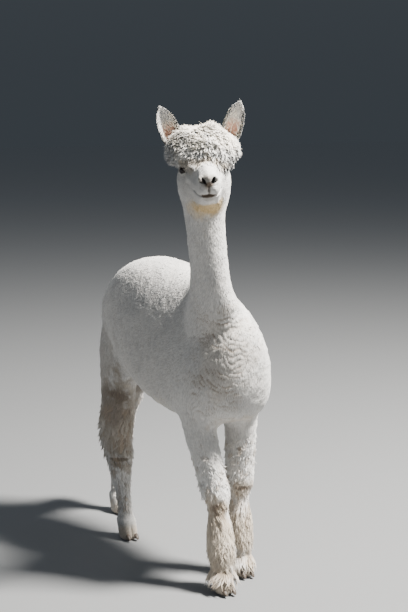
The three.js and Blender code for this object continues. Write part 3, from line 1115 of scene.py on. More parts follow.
@dataclass
class Skin:
    """One skin over the whole animal."""

    voxel: float = 0.008
    overlap: float = 0.0012  # closes the gaps between the frame's solids
    cap_depth: float = 0.017  # of the wool over the skull
    weld: float = 1e-5  # points of the frame's solids that are nearer than this are one
    skull: tuple[Triple, Triple] = ((0, -30, 24), (70, 84, 62))  # middle and radii, in the head's frame
    withers: tuple[Triple, Triple] = ((-38, 30, 932), (56, 64, 58))  # fills the corner behind the neck
    sinking_steps: int = 4
    toe_height: float = 0.07
    cleft_width: float = 0.0045
    cleft_depth: float = 0.007
    sole: float = 0.0035  # what is lower than this is on the ground
    flesh: list[str] = field(default_factory=lambda: ["trunk", "neck", "head", "tail"]
                             + [f"leg_{leg}_{part}" for leg in LEGS for part in ("upper", "lower")]
                             + [f"foot_{leg}" for leg in LEGS])

    def build(self) -> bpy.types.Object:
        """Makes the skin and dresses it.

        Returns:
            The skin's piece.
        """
        mesh = self._remeshed()
        relax(mesh, 14, self._softness(points_of(mesh)))
        relax(mesh, 45, self._at_joins(points_of(mesh)))
        self._sink(mesh)
        self._refine(mesh, self._on_face)
        self._refine(mesh, self._on_face)
        relax(mesh, 8, 0.6 * self._on_face(points_of(mesh)))
        self._refine(mesh, self._on_features)
        relax(mesh, 3, 0.5 * self._on_features(points_of(mesh)))
        self._refine(mesh, self._on_feet)
        self._shape_feet(mesh)
        sculptor = FaceSculptor(mesh)
        sculptor.model()
        mesh = self._with_ears(mesh, sculptor.bare)
        piece = add_piece("skin", mesh, CoatFinish(Surface.SKIN).material())
        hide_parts(*self.flesh, "topknot", "ear_left", "ear_right")
        return piece

    def _remeshed(self) -> Mesh:
        """Joins the solids of flesh into one closed surface.

        Returns:
            The surface, before it is smoothed.
        """
        work = bmesh.new()
        for name in self.flesh:
            self._add_solid(work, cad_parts[name].data)
        self._add_cap(work)
        self._add_ball(work, *self.skull, HEAD.world)
        self._add_ball(work, *self.withers, lambda places: places * MM + SHIFT)
        mesh = bpy.data.meshes.new("flesh")
        work.to_mesh(mesh)
        work.free()
        carrier = in_scene("flesh", mesh)
        remesh = carrier.modifiers.new("remesh", "REMESH")
        remesh.mode = "VOXEL"
        remesh.voxel_size = self.voxel
        ready = carrier.evaluated_get(bpy.context.evaluated_depsgraph_get())
        joined = bpy.data.meshes.new_from_object(ready)
        bpy.data.objects.remove(carrier)
        return joined

    def _add_solid(self, work: bmesh.types.BMesh, source: Mesh) -> None:
        """Adds a copy of one solid, grown a little."""
        part = bmesh.new()
        part.from_mesh(source)
        bmesh.ops.remove_doubles(part, verts=part.verts, dist=self.weld)
        part.normal_update()
        for vertex in part.verts:
            vertex.co += vertex.normal * self.overlap
        self._merge(work, part)

    def _add_cap(self, work: bmesh.types.BMesh) -> None:
        """Adds the skull's cap: the topknot's solid, shrunk on every side by the depth of its wool."""
        part = bmesh.new()
        part.from_mesh(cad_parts["topknot"].data)
        bmesh.ops.remove_doubles(part, verts=part.verts, dist=self.weld)
        points = HEAD.local(np.array([vertex.co for vertex in part.verts]))
        low, high = points.min(0), points.max(0)
        middle, half = (low + high) / 2, (high - low) / 2
        shrunk = middle + (points - middle) * (half - self.cap_depth / MM) / half
        for vertex, place in zip(part.verts, HEAD.world(shrunk)):
            vertex.co = Vector(place)
        self._merge(work, part)

    def _add_ball(self, work: bmesh.types.BMesh, centre: Triple, radii: Triple,
                  placed: Callable[[Array], Array]) -> None:
        """Adds an ellipsoid that fills the skull, or the corner between neck and withers.

        Args:
            work: The mesh to add to.
            centre: Its middle in millimetres.
            radii: Its radii in millimetres.
            placed: Takes such places into the animal's frame.
        """
        part = bmesh.new()
        bmesh.ops.create_icosphere(part, subdivisions=3, radius=1.0)
        places = np.array([vertex.co for vertex in part.verts]) * radii + centre
        for vertex, place in zip(part.verts, placed(places)):
            vertex.co = Vector(place)
        bmesh.ops.recalc_face_normals(part, faces=part.faces)
        self._merge(work, part)

    @staticmethod
    def _merge(work: bmesh.types.BMesh, part: bmesh.types.BMesh) -> None:
        """Copies one mesh into another."""
        carrier = bpy.data.meshes.new("part")
        part.to_mesh(carrier)
        part.free()
        work.from_mesh(carrier)
        bpy.data.meshes.remove(carrier)

    @staticmethod
    def _softness(points: Array) -> Array:
        """How much each point is smoothed: less on the feet and the muzzle."""
        local = HEAD.local(points)
        muzzle = ease(40, 90, local[:, 1]) * ease(-140, -100, local[:, 2])
        foot = ease(0.09, 0.03, points[:, 2])
        return 0.62 * (1 - 0.65 * np.maximum(muzzle, foot))

    @staticmethod
    def _at_joins(points: Array) -> Array:
        """Places that are smoothed most: behind the neck's root and round the tail's."""
        total = np.zeros(len(points))
        for middle, reach in (((-30, 75, 950), 0.15), ((-31, 640, 875), 0.11)):
            distance = np.linalg.norm(points - np.array(middle) * MM - SHIFT, axis=1)
            total = np.maximum(total, 0.6 * ease(reach, 0.5 * reach, distance))
        return total

    def _sink(self, mesh: Mesh) -> None:
        """Moves the surface in by the depth of the coat, a little at a time."""
        depth = coat_depth(points_of(mesh))
        for _ in range(self.sinking_steps):
            moved = points_of(mesh) - normals_of(mesh) * (depth / self.sinking_steps)[:, None]
            moved[:, 2] = np.maximum(moved[:, 2], 0.0)
            set_points(mesh, moved)
            relax(mesh, 1, 0.3)

    @staticmethod
    def _refine(mesh: Mesh, where: Callable[[Array], Array]) -> None:
        """Splits the faces of one area in four.

        Args:
            mesh: The skin's mesh.
            where: Tells which places are in the area.
        """
        work = bmesh.new()
        work.from_mesh(mesh)
        work.faces.ensure_lookup_table()
        middles = np.array([face.calc_center_median() for face in work.faces])
        chosen = [work.faces[i] for i in np.flatnonzero(where(middles))]
        edges = {edge for face in chosen for edge in face.edges}
        bmesh.ops.subdivide_edges(work, edges=sorted(edges, key=lambda edge: edge.index), cuts=1,
                                  use_grid_fill=True)
        odd = [face for face in work.faces if len(face.verts) > 4]
        bmesh.ops.triangulate(work, faces=odd)
        work.to_mesh(mesh)
        work.free()

    @staticmethod
    def _on_face(points: Array) -> Array:
        """The bare part of the head, in front of the cheeks' wool."""
        left, forward, up = HEAD.local(points).T
        return (forward > -22) & (up < 40) & (up > -125) & (np.abs(left) < 100) & (forward > -40 - 0.25 * up)

    @staticmethod
    def _on_features(points: Array) -> Array:
        """Nose, lips and the skin round the eyes."""
        left, forward, up = HEAD.local(points).T
        nose = (forward > 104) & (up < 24) & (up > -66)
        corner = (forward > 74) & (up < -26) & (up > -58)
        places = np.stack([np.abs(left), forward, up], 1)
        eye = np.linalg.norm(places - (63, 9, 1), axis=1) < 25
        return nose | corner | eye

    def _on_feet(self, points: Array) -> Array:
        """The toes."""
        return points[:, 2] < self.toe_height

    def _shape_feet(self, mesh: Mesh) -> None:
        """Parts the toes and flattens the soles."""
        relax(mesh, 2, 0.4 * ease(0.09, 0.06, points_of(mesh)[:, 2]))
        points = points_of(mesh)
        normals = normals_of(mesh)
        for leg in LEGS:
            low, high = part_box(f"foot_{leg}")
            middle = (low.x + high.x) / 2
            inside = (points[:, 0] > low.x - 0.01) & (points[:, 0] < high.x + 0.01) & self._on_feet(points)
            inside &= (points[:, 1] > low.y - 0.01) & (points[:, 1] < high.y + 0.01)
            front = ease(low.y + 0.058, low.y + 0.02, points[:, 1]) * ease(0.062, 0.035, points[:, 2])
            cleft = np.exp(-(((points[:, 0] - middle) / self.cleft_width) ** 2)) * front * inside
            points -= normals * (cleft * self.cleft_depth)[:, None]
        points[:, 2] = np.where(points[:, 2] < self.sole, 0.0, points[:, 2])
        set_points(mesh, points)

    @staticmethod
    def _with_ears(mesh: Mesh, bare: Array) -> Mesh:
        """Adds the ears, whose roots are deep in the skull's wool.

        Args:
            mesh: The skin's mesh, which is used up.
            bare: How bare and dark each of its points is, painted shade in the nostrils and grooves
                included.

        Returns:
            The mesh of skin and ears, with the values that its material reads.
        """
        points, triangles = [points_of(mesh)], [triangles_of(mesh)]
        none = np.zeros(len(points[0]))
        values = {"bare": [bare], "pink": [none], "ear": [none], "rim": [none]}
        for side in SIDES.values():
            places, faces, rosy, hollow = EarShape(side).build()
            triangles.append(faces + sum(len(part) for part in points))
            points.append(HEAD.world(places))
            parts = (np.zeros(len(places)), rosy, np.full(len(places), float(side)), hollow)
            for rows, part in zip(values.values(), parts):
                rows.append(part)
        joined = mesh_from("skin", np.concatenate(points), np.concatenate(triangles))
        for name, rows in values.items():
            write_values(joined, name, np.concatenate(rows))
        bpy.data.meshes.remove(mesh)
        return joined


def coat_depth(points: Array) -> Array:
    """How far the skin lies inside the frame's solids, in metres.

    Args:
        points: Places on the frame's solids.

    Returns:
        A depth for each.
    """
    survey = ANATOMY.survey(points)
    height = points[:, 2]
    forward = HEAD.local(points)[:, 1]
    foot = ease(0.085, 0.06, height)
    wool = ease(0.30, 0.24, height) * (1 - foot)
    fore = 0.0085 + 0.0125 * wool - 0.0065 * foot
    hind = 0.0105 - 0.002 * ease(0.34, 0.28, height) - 0.0065 * foot
    head = 0.002 + 0.008 * ease(20, -40, forward)
    body, tail = 0.010, 0.018
    depths = {Region.TRUNK: body, Region.NECK: body, Region.HEAD: head, Region.TAIL: tail}
    total = np.zeros(len(points))
    for region in Region:
        depth = depths.get(region, fore if region.is_fore else hind)
        total += survey.of(region) * depth
    return total


# ---------------- eyes and nails


@dataclass
class Eyeball:
    """A wet eyeball with a raised cornea, a level pupil, a dark lid edge and lashes."""

    name: str
    rings: int = 34
    spokes: int = 56
    cornea: float = 0.9  # angle of its edge from the axis
    bulge: float = 0.6  # millimetres
    pupil: tuple[float, float] = (0.46, 0.26)  # half its width and half its height, over the eye's radius
    lid_beads: int = 72
    lid_sides: int = 8
    lid_thickness: float = 1.15  # millimetres

    def build(self) -> None:
        """Makes the eye's pieces."""
        eye = EYES[self.name]
        turns = np.linspace(0, math.tau, self.spokes, False)
        tilt, turn = np.meshgrid(np.linspace(0, math.pi, self.rings), turns, indexing="ij")
        tilt, turn = tilt.ravel(), turn.ravel()
        sine = np.sin(tilt)[:, None]
        ray = (np.cos(tilt)[:, None] * eye.axis + sine * np.cos(turn)[:, None] * eye.inner
               + sine * np.sin(turn)[:, None] * eye.up)
        radius = eye.radius + self.bulge * ease(self.cornea, 0.2, tilt)
        points = eye.centre + ray * radius[:, None]
        triangles = tube_triangles(self.rings, self.spokes, eye.side > 0)
        mesh = mesh_from(f"eyeball_{self.name}", HEAD.world(points), triangles)
        level, rise = np.sin(tilt) * np.cos(turn), np.sin(tilt) * np.sin(turn)
        facing = np.where(np.cos(tilt) > 0, 0.0, FAR_OFF)
        write_values(mesh, "angle", tilt)
        write_values(mesh, "pupil", np.hypot(level / self.pupil[0], rise / self.pupil[1]) + facing)
        ball = add_piece(f"eyeball_{self.name}", mesh, EyeFinish().material())
        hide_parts(f"eye_{self.name}")
        self._lid_edge(eye)
        self._lashes(eye)

    def _lid_edge(self, eye: EyeSocket) -> None:
        """A soft dark bead along both lids."""
        count, sides = self.lid_beads, self.lid_sides
        turns = np.linspace(0, math.tau, count, False)
        middle = eye.edge(turns, eye.radius + 0.9)
        outward = unit(middle - eye.centre)
        ahead = unit(np.roll(middle, -1, 0) - np.roll(middle, 1, 0))
        beside = np.cross(ahead, outward)
        angles = np.linspace(0, math.tau, sides, False)[None, :, None]
        around = np.cos(angles) * outward[:, None] + np.sin(angles) * beside[:, None]
        points = middle[:, None] + self.lid_thickness * around
        triangles = tube_triangles(count + 1, sides, eye.side < 0) % (count * sides)
        mesh = mesh_from(f"lid_edge_{self.name}", HEAD.world(points.reshape(-1, 3)), triangles)
        add_piece(f"lid_edge_{self.name}", mesh, LidFinish().material())

    def _lashes(self, eye: EyeSocket) -> None:
        """Pale lashes along the upper lid and a few below."""
        upper = np.linspace(0.12, 0.88, 34) * math.pi
        lower = np.linspace(1.2, 1.8, 14) * math.pi
        turns = np.concatenate([upper, lower])
        lengths = np.concatenate([8 + 6 * np.sin(upper) ** 2, np.full(len(lower), 4.5)])
        roots = eye.edge(turns, eye.radius + 1.5)
        outward = unit(roots - eye.centre)
        away = unit(outward - (outward @ eye.axis)[:, None] * eye.axis)
        ways = unit(outward + 0.35 * away - np.array([0, 0, 0.3]))
        growth = Growth(HEAD.world(roots), HEAD.direction(outward), HEAD.direction(ways), lengths * MM,
                        np.full(len(turns), 0.55 * MM))
        style = LockStyle(profile=(1, 0.8, 0.5, 0), droop=0.25, soft=0.2)
        mesh = LockMaker(style, 11).mesh(f"lashes_{self.name}", growth)
        add_piece(f"lashes_{self.name}", mesh, CoatFinish(Surface.LONG).material())


def tube_triangles(rings: int, sides: int, flip: bool) -> Array:
    """Triangles over a grid of rings that close on themselves.

    Args:
        rings: Number of rings.
        sides: Points in each ring.
        flip: Whether the triangles face the other way.

    Returns:
        The triangles.
    """
    grid = np.arange(rings * sides).reshape(rings, sides)
    beside = np.roll(grid, -1, 1)
    a, b, c, d = (part.ravel() for part in (grid[:-1], beside[:-1], beside[1:], grid[1:]))
    triangles = np.concatenate([np.stack([a, b, c], 1), np.stack([a, c, d], 1)])
    return triangles[:, ::-1] if flip else triangles


@dataclass
class Toenail:
    """A hooked nail with a ridge along its top. Its sizes are shares of the frame's plain nail."""

    node: str
    rings: int = 14
    sides: int = 16
    width: float = 0.92
    height: float = 0.62
    length: float = 0.98
    ridge: float = 0.16
    blunt: float = 0.0004  # keeps a little of its thickness at the tip
    floor: float = 0.0005  # its lowest point over the ground, in metres

    def build(self) -> None:
        """Makes the nail in the place of the frame's plain one."""
        low, high = (np.array(corner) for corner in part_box(self.node))
        middle = (low + high) / 2
        half = (high - low) / 2
        share = np.linspace(0, 1, self.rings)[:, None]
        turn = np.linspace(0, math.tau, self.sides, False)[None, :]
        width = half[0] * self.width * np.sqrt(np.maximum(1 - share**2.2, self.blunt))
        rise = half[2] * self.height * np.sqrt(np.maximum(1 - share**1.7, self.blunt))
        ridge = 1 + self.ridge * np.maximum(np.sin(turn), 0) ** 6
        across = middle[0] + width * np.cos(turn)
        ahead = high[1] - share * (high[1] - low[1]) * self.length
        hook = high[2] - 0.52 * (high[2] - low[2]) * (0.72 + 0.95 * share**1.8)
        upward = np.maximum(hook + rise * np.sin(turn) * ridge, self.floor)
        points = np.stack(np.broadcast_arrays(across, ahead, upward), -1).reshape(-1, 3)
        ends = np.array([points[: self.sides].mean(0), points[-self.sides:].mean(0)])
        body = tube_triangles(self.rings, self.sides, False)
        first, last = np.arange(self.sides), np.arange(self.sides) + (self.rings - 1) * self.sides
        hub = len(points)
        root = np.stack([np.full(self.sides, hub), np.roll(first, -1), first], 1)
        tip = np.stack([np.full(self.sides, hub + 1), last, np.roll(last, -1)], 1)
        mesh = mesh_from(self.node, np.concatenate([points, ends]), np.concatenate([body, root, tip]))
        write_values(mesh, "along", np.append(np.repeat(share[:, 0], self.sides), [0, 1]))
        piece = add_piece(self.node.replace("nail", "toenail"), mesh, NAIL_HORN)
        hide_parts(self.node)


# ---------------- the coat


@dataclass(frozen=True)
class LockStyle:
    """How one kind of lock is shaped. Widths are shares of the lock's width."""

    stations: tuple[float, ...] = (0, 0.35, 0.7, 1)
    profile: tuple[float, ...] = (0.75, 1.0, 0.65, 0.0)
    flat: float = 0.55  # thickness over width
    droop: float = 0.0  # how far the tip sinks, as a share of length
    hug: float = 0.0  # how far the tip turns back to the skin
    wave: float = 0.0  # sideways waves, as a share of length
    soft: float = 0.6  # how much of its normal comes from the skin below
    bury: float = 0.12  # share of its length under the skin
    skew: float = 0.0  # share of its length from its root to the top of its back


SHORN = LockStyle((0, 1), (1, 0), flat=0.75, hug=0.05, soft=0.62, skew=0.42)  # a keeled scale of short wool
MATTED = LockStyle(droop=0.10, hug=0.12, wave=0.06, soft=0.4)


@dataclass
class Growth:
    """Where locks grow: one row or value for each lock."""

    roots: Array
    normals: Array
    ways: Array
    lengths: Array
    widths: Array
    tones: Array | None = None
    folds: Array | None = None  # painted shade at the root: 1 deep in a fold, 0 at an open one, less where light reaches it
    stains: Array | None = None

    def only(self, chosen: Array) -> "Growth":
        """The chosen locks."""
        parts = [getattr(self, name) for name in self.__dataclass_fields__]
        return Growth(*[None if part is None else part[chosen] for part in parts])


class LockMaker:
    """Makes many closed, pointed locks as one mesh."""

    SECTION = ((-1.0, -0.35), (1.0, -0.35), (0.0, 1.0))  # sideways and upwards
    PATCH = 0.003  # across one lock on the bake map

    def __init__(self, style: LockStyle, seed: int) -> None:
        """Keeps the style and starts its own random numbers.

        Args:
            style: How its locks are shaped.
            seed: Starts the random numbers.
        """
        self.style = style
        self.random = np.random.default_rng(seed)
        self.rows: list[tuple[float, ...]] = []  # station, width, sideways and upwards of each point
        for ring, (station, width) in enumerate(zip(style.stations, style.profile)):
            if width == 0:
                self.rows.append((station, 0.0, 0.0, 0.0))
                continue
            for sideways, upwards in self.SECTION:
                lead = style.skew if ring == 0 and upwards > 0 else 0.0
                self.rows.append((station + lead, width, sideways, upwards))

    def mesh(self, name: str, growth: Growth) -> Mesh:
        """Builds the locks.

        Args:
            name: The mesh's name.
            growth: Where they grow.

        Returns:
            A mesh with normals, a bake map, and the values that the coat's materials read.
        """
        style = self.style
        count, per_lock = len(growth.roots), len(self.rows)
        side = unit(np.cross(growth.ways, growth.normals))
        lift = np.cross(side, growth.ways)
        length = growth.lengths[:, None]
        phase = self.random.uniform(0, math.tau, count)[:, None]
        points = np.empty((count, per_lock, 3))
        slants = np.empty((count, per_lock, 3))
        for i, (station, width, sideways, upwards) in enumerate(self.rows):
            reach = station - style.bury * (1 - station)
            bend = station**2 * (style.droop * np.array([0, 0, -1.0]) - style.hug * growth.normals)
            wave = style.wave * station * np.sin(phase + 9.0 * station)
            centre = growth.roots + length * (reach * growth.ways + bend + wave * side)
            half = (growth.widths * width / 2)[:, None]
            points[:, i] = centre + half * (sideways * side + upwards * style.flat * lift)
            face = unit(0.8 * sideways * side + (0.3 + upwards) * lift)
            slants[:, i] = face if width else growth.ways + lift
        slants = unit((1 - style.soft) * unit(slants) + style.soft * growth.normals[:, None])
        triangles = self._template()[None] + (np.arange(count) * per_lock)[:, None, None]
        triangles = triangles.reshape(-1, 3)
        mesh = mesh_from(name, points.reshape(-1, 3), triangles)
        self._write_values(mesh, growth)
        self._write_map(mesh, growth, triangles)
        mesh.normals_split_custom_set_from_vertices(slants.reshape(-1, 3).astype(np.float32))
        return mesh

    def _template(self) -> Array:
        """One lock's triangles: an end under the skin, its sides and its point."""
        rings = len(self.style.stations) - 1
        triangles = [(0, 1, 2)]
        for ring in range(rings - 1):
            for i in range(3):
                a, b = ring * 3 + i, ring * 3 + (i + 1) % 3
                triangles += [(a, b + 3, b), (a, a + 3, b + 3)]
        tip, last = rings * 3, (rings - 1) * 3
        triangles += [(last + (i + 1) % 3, last + i, tip) for i in range(3)]
        return np.array(triangles)

    def _write_values(self, mesh: Mesh, growth: Growth) -> None:
        """Stores how far along its lock each point is, less the painted shade of its fold, and the lock's
        own tone and stain.

        Args:
            mesh: The locks' mesh.
            growth: Where they grow.
        """
        count = len(growth.roots)
        along = np.array([row[0] for row in self.rows])
        tones = self.random.uniform(0, 1, count) if growth.tones is None else growth.tones
        folds = np.zeros(count) if growth.folds is None else growth.folds
        stains = np.zeros(count) if growth.stains is None else growth.stains
        write_values(mesh, "along", (along[None] - folds[:, None] * (1 - along[None])).ravel())
        write_values(mesh, "tone", np.repeat(tones, len(along)))
        write_values(mesh, "stain", np.repeat(stains, len(along)))

    def _write_map(self, mesh: Mesh, growth: Growth, triangles: Array) -> None:
        """Gives each lock a small patch at its root's place on the chart of the skin."""
        chart = ANATOMY.chart(growth.roots, ANATOMY.survey(growth.roots))
        local = np.array([(0.5 * sideways, station - 0.5 + 0.1 * (upwards > 0))
                          for station, _, sideways, upwards in self.rows]) * self.PATCH
        places = (chart[:, None] + local[None]).reshape(-1, 2)
        layer = mesh.uv_layers.new(name=BAKE_MAP)
        layer.uv.foreach_set("vector", places[triangles.ravel()].astype(np.float32).ravel())


class Pelt:
    """The skin's surface, from which the roots of locks are picked."""

    def __init__(self, skin: bpy.types.Object) -> None:
        """Measures the skin once.

        Args:
            skin: The skin's piece.
        """
        mesh = skin.data
        self.points = points_of(mesh)
        self.normals = normals_of(mesh)
        self.triangles = triangles_of(mesh)
        corners = self.points[self.triangles]
        cross = np.cross(corners[:, 1] - corners[:, 0], corners[:, 2] - corners[:, 0])
        self.areas = np.linalg.norm(cross, axis=1) / 2
        self.middles = corners.mean(1)
        self.values = {}
        for name in ("bare", "ear", "pink", "rim"):
            found = numbers_of(mesh.attributes[name].data, "value", 1, np.float32)[:, 0]
            self.values[name] = found[self.triangles].mean(1)
        self.survey = ANATOMY.survey(self.middles)
        self.local = HEAD.local(self.middles)

    def sample(self, density: Array, count: int, seed: int) -> tuple[Array, Array, Array]:
        """Picks places on the skin.

        Args:
            density: Relative number of locks to the area, for each triangle.
            count: How many places a full coat has.
            seed: Chooses them.

        Returns:
            Places, normals, and the numbers of the triangles that hold them.
        """
        random = np.random.default_rng(seed)
        count = int(count * SHARE)
        running = np.cumsum(self.areas * density)
        steps = (np.arange(count) + random.uniform(0, 1, count)) / count
        chosen = np.searchsorted(running, steps * running[-1])
        chosen = np.minimum(chosen, len(running) - 1)
        first, second = random.uniform(0, 1, (2, count))
        flip = first + second > 1
        first, second = np.where(flip, 1 - first, first), np.where(flip, 1 - second, second)
        shares = np.stack([1 - first - second, first, second], 1)[..., None]
        corners = self.triangles[chosen]
        places = (self.points[corners] * shares).sum(1)
        normals = unit((self.normals[corners] * shares).sum(1))
        return places, normals, chosen


def nearest_of(points: Array, centres: Array) -> Array:
    """Number of the nearest centre for each point."""
    tree = kdtree.KDTree(len(centres))
    for i, centre in enumerate(centres):
        tree.insert(centre, i)
    tree.balance()
    return np.array([tree.find(point)[1] for point in points])


def gathered(roots: Array, ways: Array, lengths: Array, each: int, pull: tuple[float, float],
             random: Random) -> tuple[Array, Array]:
    """Leans locks together into pointed clumps.

    Args:
        roots: Where the locks grow.
        ways: Their directions.
        lengths: Their lengths.
        each: About how many locks make a clump.
        pull: Least and most share of the way that a tip moves to the middle of its clump.
        random: Random numbers.

    Returns:
        The new directions, and the number of each lock's clump.
    """
    centres = roots[random.permutation(len(roots))[: max(len(roots) // each, 1)]]
    owner = nearest_of(roots, centres)
    tips = roots + ways * lengths[:, None]
    sums = np.stack([np.bincount(owner, tips[:, axis], len(centres)) for axis in range(3)], 1)
    meeting = sums / np.maximum(np.bincount(owner, minlength=len(centres)), 1)[:, None]
    share = random.uniform(*pull, len(roots))[:, None]
    return unit((1 - share) * tips + share * meeting[owner] - roots), owner


def per_clump(random: Random, owner: Array, low: float = 0.0, high: float = 1.0) -> Array:
    """A random number for each clump, given to all of its locks."""
    return random.uniform(low, high, owner.max() + 1)[owner]


def clump_tones(random: Random, owner: Array, own: float) -> Array:
    """Tones from 0 to 1, of which a share is each lock's own and the rest its clump's."""
    return own * random.uniform(0, 1, len(owner)) + (1 - own) * per_clump(random, owner)


def between(points: Array, low: float, high: float, soft: float = 0.02) -> Array:
    """1 between two heights, with soft ends."""
    return ease(low - soft, low + soft, points[:, 2]) * ease(high + soft, high - soft, points[:, 2])


def scattered(random: Random, count: int, middle: float, spread: float) -> Array:
    """Lengths in metres from millimetres, even between middle - spread and middle + spread."""
    return (middle + spread * random.uniform(-1, 1, count)) * MM


@dataclass
class Coat:
    """All the wool and hair, each kind in layers that stay small enough."""

    pelt: Pelt
    fleece_locks: int = 165000
    topknot_locks: int = 15400
    under_wool_locks: int = 12000
    leg_locks: int = 8200
    shank_locks: int = 11200
    tail_locks: int = 3000
    foot_hairs: int = 7000
    face_hairs: int = 23000
    ear_hairs: int = 9000
    fringe_hairs: int = 1500
    knot_middle: Triple = (0, -33, 54)  # of the topknot, in the head's frame
    knot_reach: Triple = (115, 97, 80)
    knot_below: float = 58  # its reach downwards
    airy: float = -0.9  # the fold of loose wool, which light reaches to its roots
    row_spacing: float = 0.0105  # of the shears' rows

    def __post_init__(self) -> None:
        """Makes the two materials and finds the parts that more than one kind of coat needs."""
        pelt = self.pelt
        self.materials = {kind: CoatFinish(kind).material() for kind in (Surface.SHORT, Surface.LONG)}
        self.height = pelt.middles[:, 2]
        self.off_ear = pelt.values["ear"] == 0
        self.fore = pelt.survey.fore()
        self.hind = pelt.survey.hind()
        self.knotted = ease(1.0, 0.88, self._knot_ratio(pelt.local)) * self.off_ear

    def grow_all(self) -> None:
        """Grows every part of the coat."""
        self.fleece()
        self.topknot()
        self.leg_wool()
        self.shank_wool()
        self.foot_hair()
        self.face_hair()
        self.ear_hair()
        self.tail_wool()

    def _knot_ratio(self, local: Array) -> Array:
        """Less than 1 inside the topknot."""
        reach = np.tile(self.knot_reach, (len(local), 1))
        reach[:, 2] = np.where(local[:, 2] > self.knot_middle[2], reach[:, 2], self.knot_below)
        return np.sum(((local - self.knot_middle) / reach) ** 2, axis=1)

    def _rooted(self, density: Array, count: int, seed: int) -> tuple[Array, Array, Survey, Random]:
        """Roots of one kind of lock, their normals, their survey, and random numbers for the locks."""
        roots, normals, _ = self.pelt.sample(density, count, seed)
        return roots, normals, ANATOMY.survey(roots), np.random.default_rng(seed + 1)

    def _add(self, name: str, growth: Growth, style: LockStyle, surface: Surface,
             layers: int = 1) -> None:
        """Adds locks as one piece, or as so many interleaved ones with a number after their name."""
        for layer in range(layers):
            part = growth.only(np.arange(layer, len(growth.roots), layers))
            title = f"{name}_{layer + 1}" if layers > 1 else name
            mesh = LockMaker(style, 100 + layer).mesh(title, part)
            add_piece(title, mesh, self.materials[surface])

    def _rows(self, points: Array) -> tuple[Array, Array]:
        """The shears' rows across the coat.

        Args:
            points: Places on the skin.

        Returns:
            How far each point is past the row before it, as a share, and the rows' spacing.
        """
        front = ease(-0.28, -0.38, points[:, 1]) * ease(0.95, 0.85, points[:, 2])
        swag = 2.4 * (points[:, 0] + 0.045) ** 2 * front
        warp = 0.034 * lumps(points, 0.07, 3) + (0.014 + 0.012 * front) * lumps(points, 0.026, 4)
        spacing = self.row_spacing + 0.0035 * front
        past = (points[:, 1] - points[:, 2] + swag + warp) / spacing
        return past - np.floor(past), spacing

    def _fleece_density(self) -> Array:
        """Where the short fleece grows: not on the face, in the topknot or low on the legs."""
        jaw = ease(20, -25, self.pelt.local[:, 1]) * (self.pelt.local[:, 2] < 40)
        density = np.maximum(1 - self.pelt.survey.of(Region.HEAD), jaw) * self.off_ear * (1 - self.knotted)
        density *= 1 - self.fore * ease(0.27, 0.24, self.height)
        density *= 1 - 0.7 * self.hind * ease(0.50, 0.38, self.height)
        return density * (1 - self.hind * ease(0.12, 0.09, self.height))

    @staticmethod
    def _order(roots: Array, found: Survey, breast: Array) -> Array:
        """How strictly the fleece keeps to the shears' rows, from 0 to 0.85; least on the far breast."""
        patchy = ease(0.25, 0.65, lumps(roots, 0.10, 5))
        far_side = ease(-0.02, 0.05, roots[:, 0])
        return np.clip(0.25 + 0.5 * patchy + breast * (0.35 - 0.75 * far_side) - 0.25 * found.of(Region.NECK)
                       - 0.4 * found.fore(), 0, 0.85)

    def fleece(self) -> None:
        """Short wool over trunk, neck and upper legs, in fine rows across its lie."""
        roots, normals, found, random = self._rooted(self._fleece_density(), self.fleece_locks, 1)
        count = len(roots)
        flow = across_mesh(normals, found.lie)
        past, spacing = self._rows(roots)
        breast = ease(-0.30, -0.40, roots[:, 1]) * between(roots, 0.55, 0.92, 0.05)
        order = self._order(roots, found, breast)
        rise = np.clip(flow @ np.array([0, 1.0, -1.0]), 0.6, 2.0)
        clump = lumps(roots, 0.014, 6)
        roots = roots - flow * (order * past * spacing / rise)[:, None]
        middle = 0.2 + 0.8 * ease(0.085, 0.045, np.abs(roots[:, 0] + 0.05))
        creased = breast * middle * ease(0.48, 0.66, lumps(roots * np.array([1, 1, 2.2]), 0.032, 7))
        groove = order * (0.5 + 0.5 * np.cos(math.tau * past))
        # painted shade: darker in the grooves between the shears' rows, in the breast's creases and between
        # clumps
        folds = np.clip(0.7 * groove + 0.9 * creased + 0.3 * ease(0.4, 0.25, clump), 0, 1)
        rear = found.hind() * ease(0.62, 0.50, roots[:, 2])
        rear += 0.7 * found.fore() * ease(0.60, 0.48, roots[:, 2])
        sway = random.normal(0, 0.20, (count, 3))
        lift = 0.16 + 0.14 * clump + 0.14 * creased + 0.12 * rear
        ways = unit(across_mesh(normals, flow + sway) + lift[:, None] * normals)
        lengths = (10.5 + 3.0 * clump + 4.0 * rear + 3.0 * breast + random.uniform(-1.8, 1.8, count)) * MM
        widths = (3.9 + 1.0 * random.uniform(-1, 1, count) + 1.2 * rear + 0.6 * breast) * MM
        roots = roots + normals * (0.0022 * (clump - 0.3) - 0.0020 * groove)[:, None]
        growth = Growth(roots, normals, ways, lengths, widths, None, folds)
        self._add("fleece_layer", growth, SHORN, Surface.SHORT, 5)

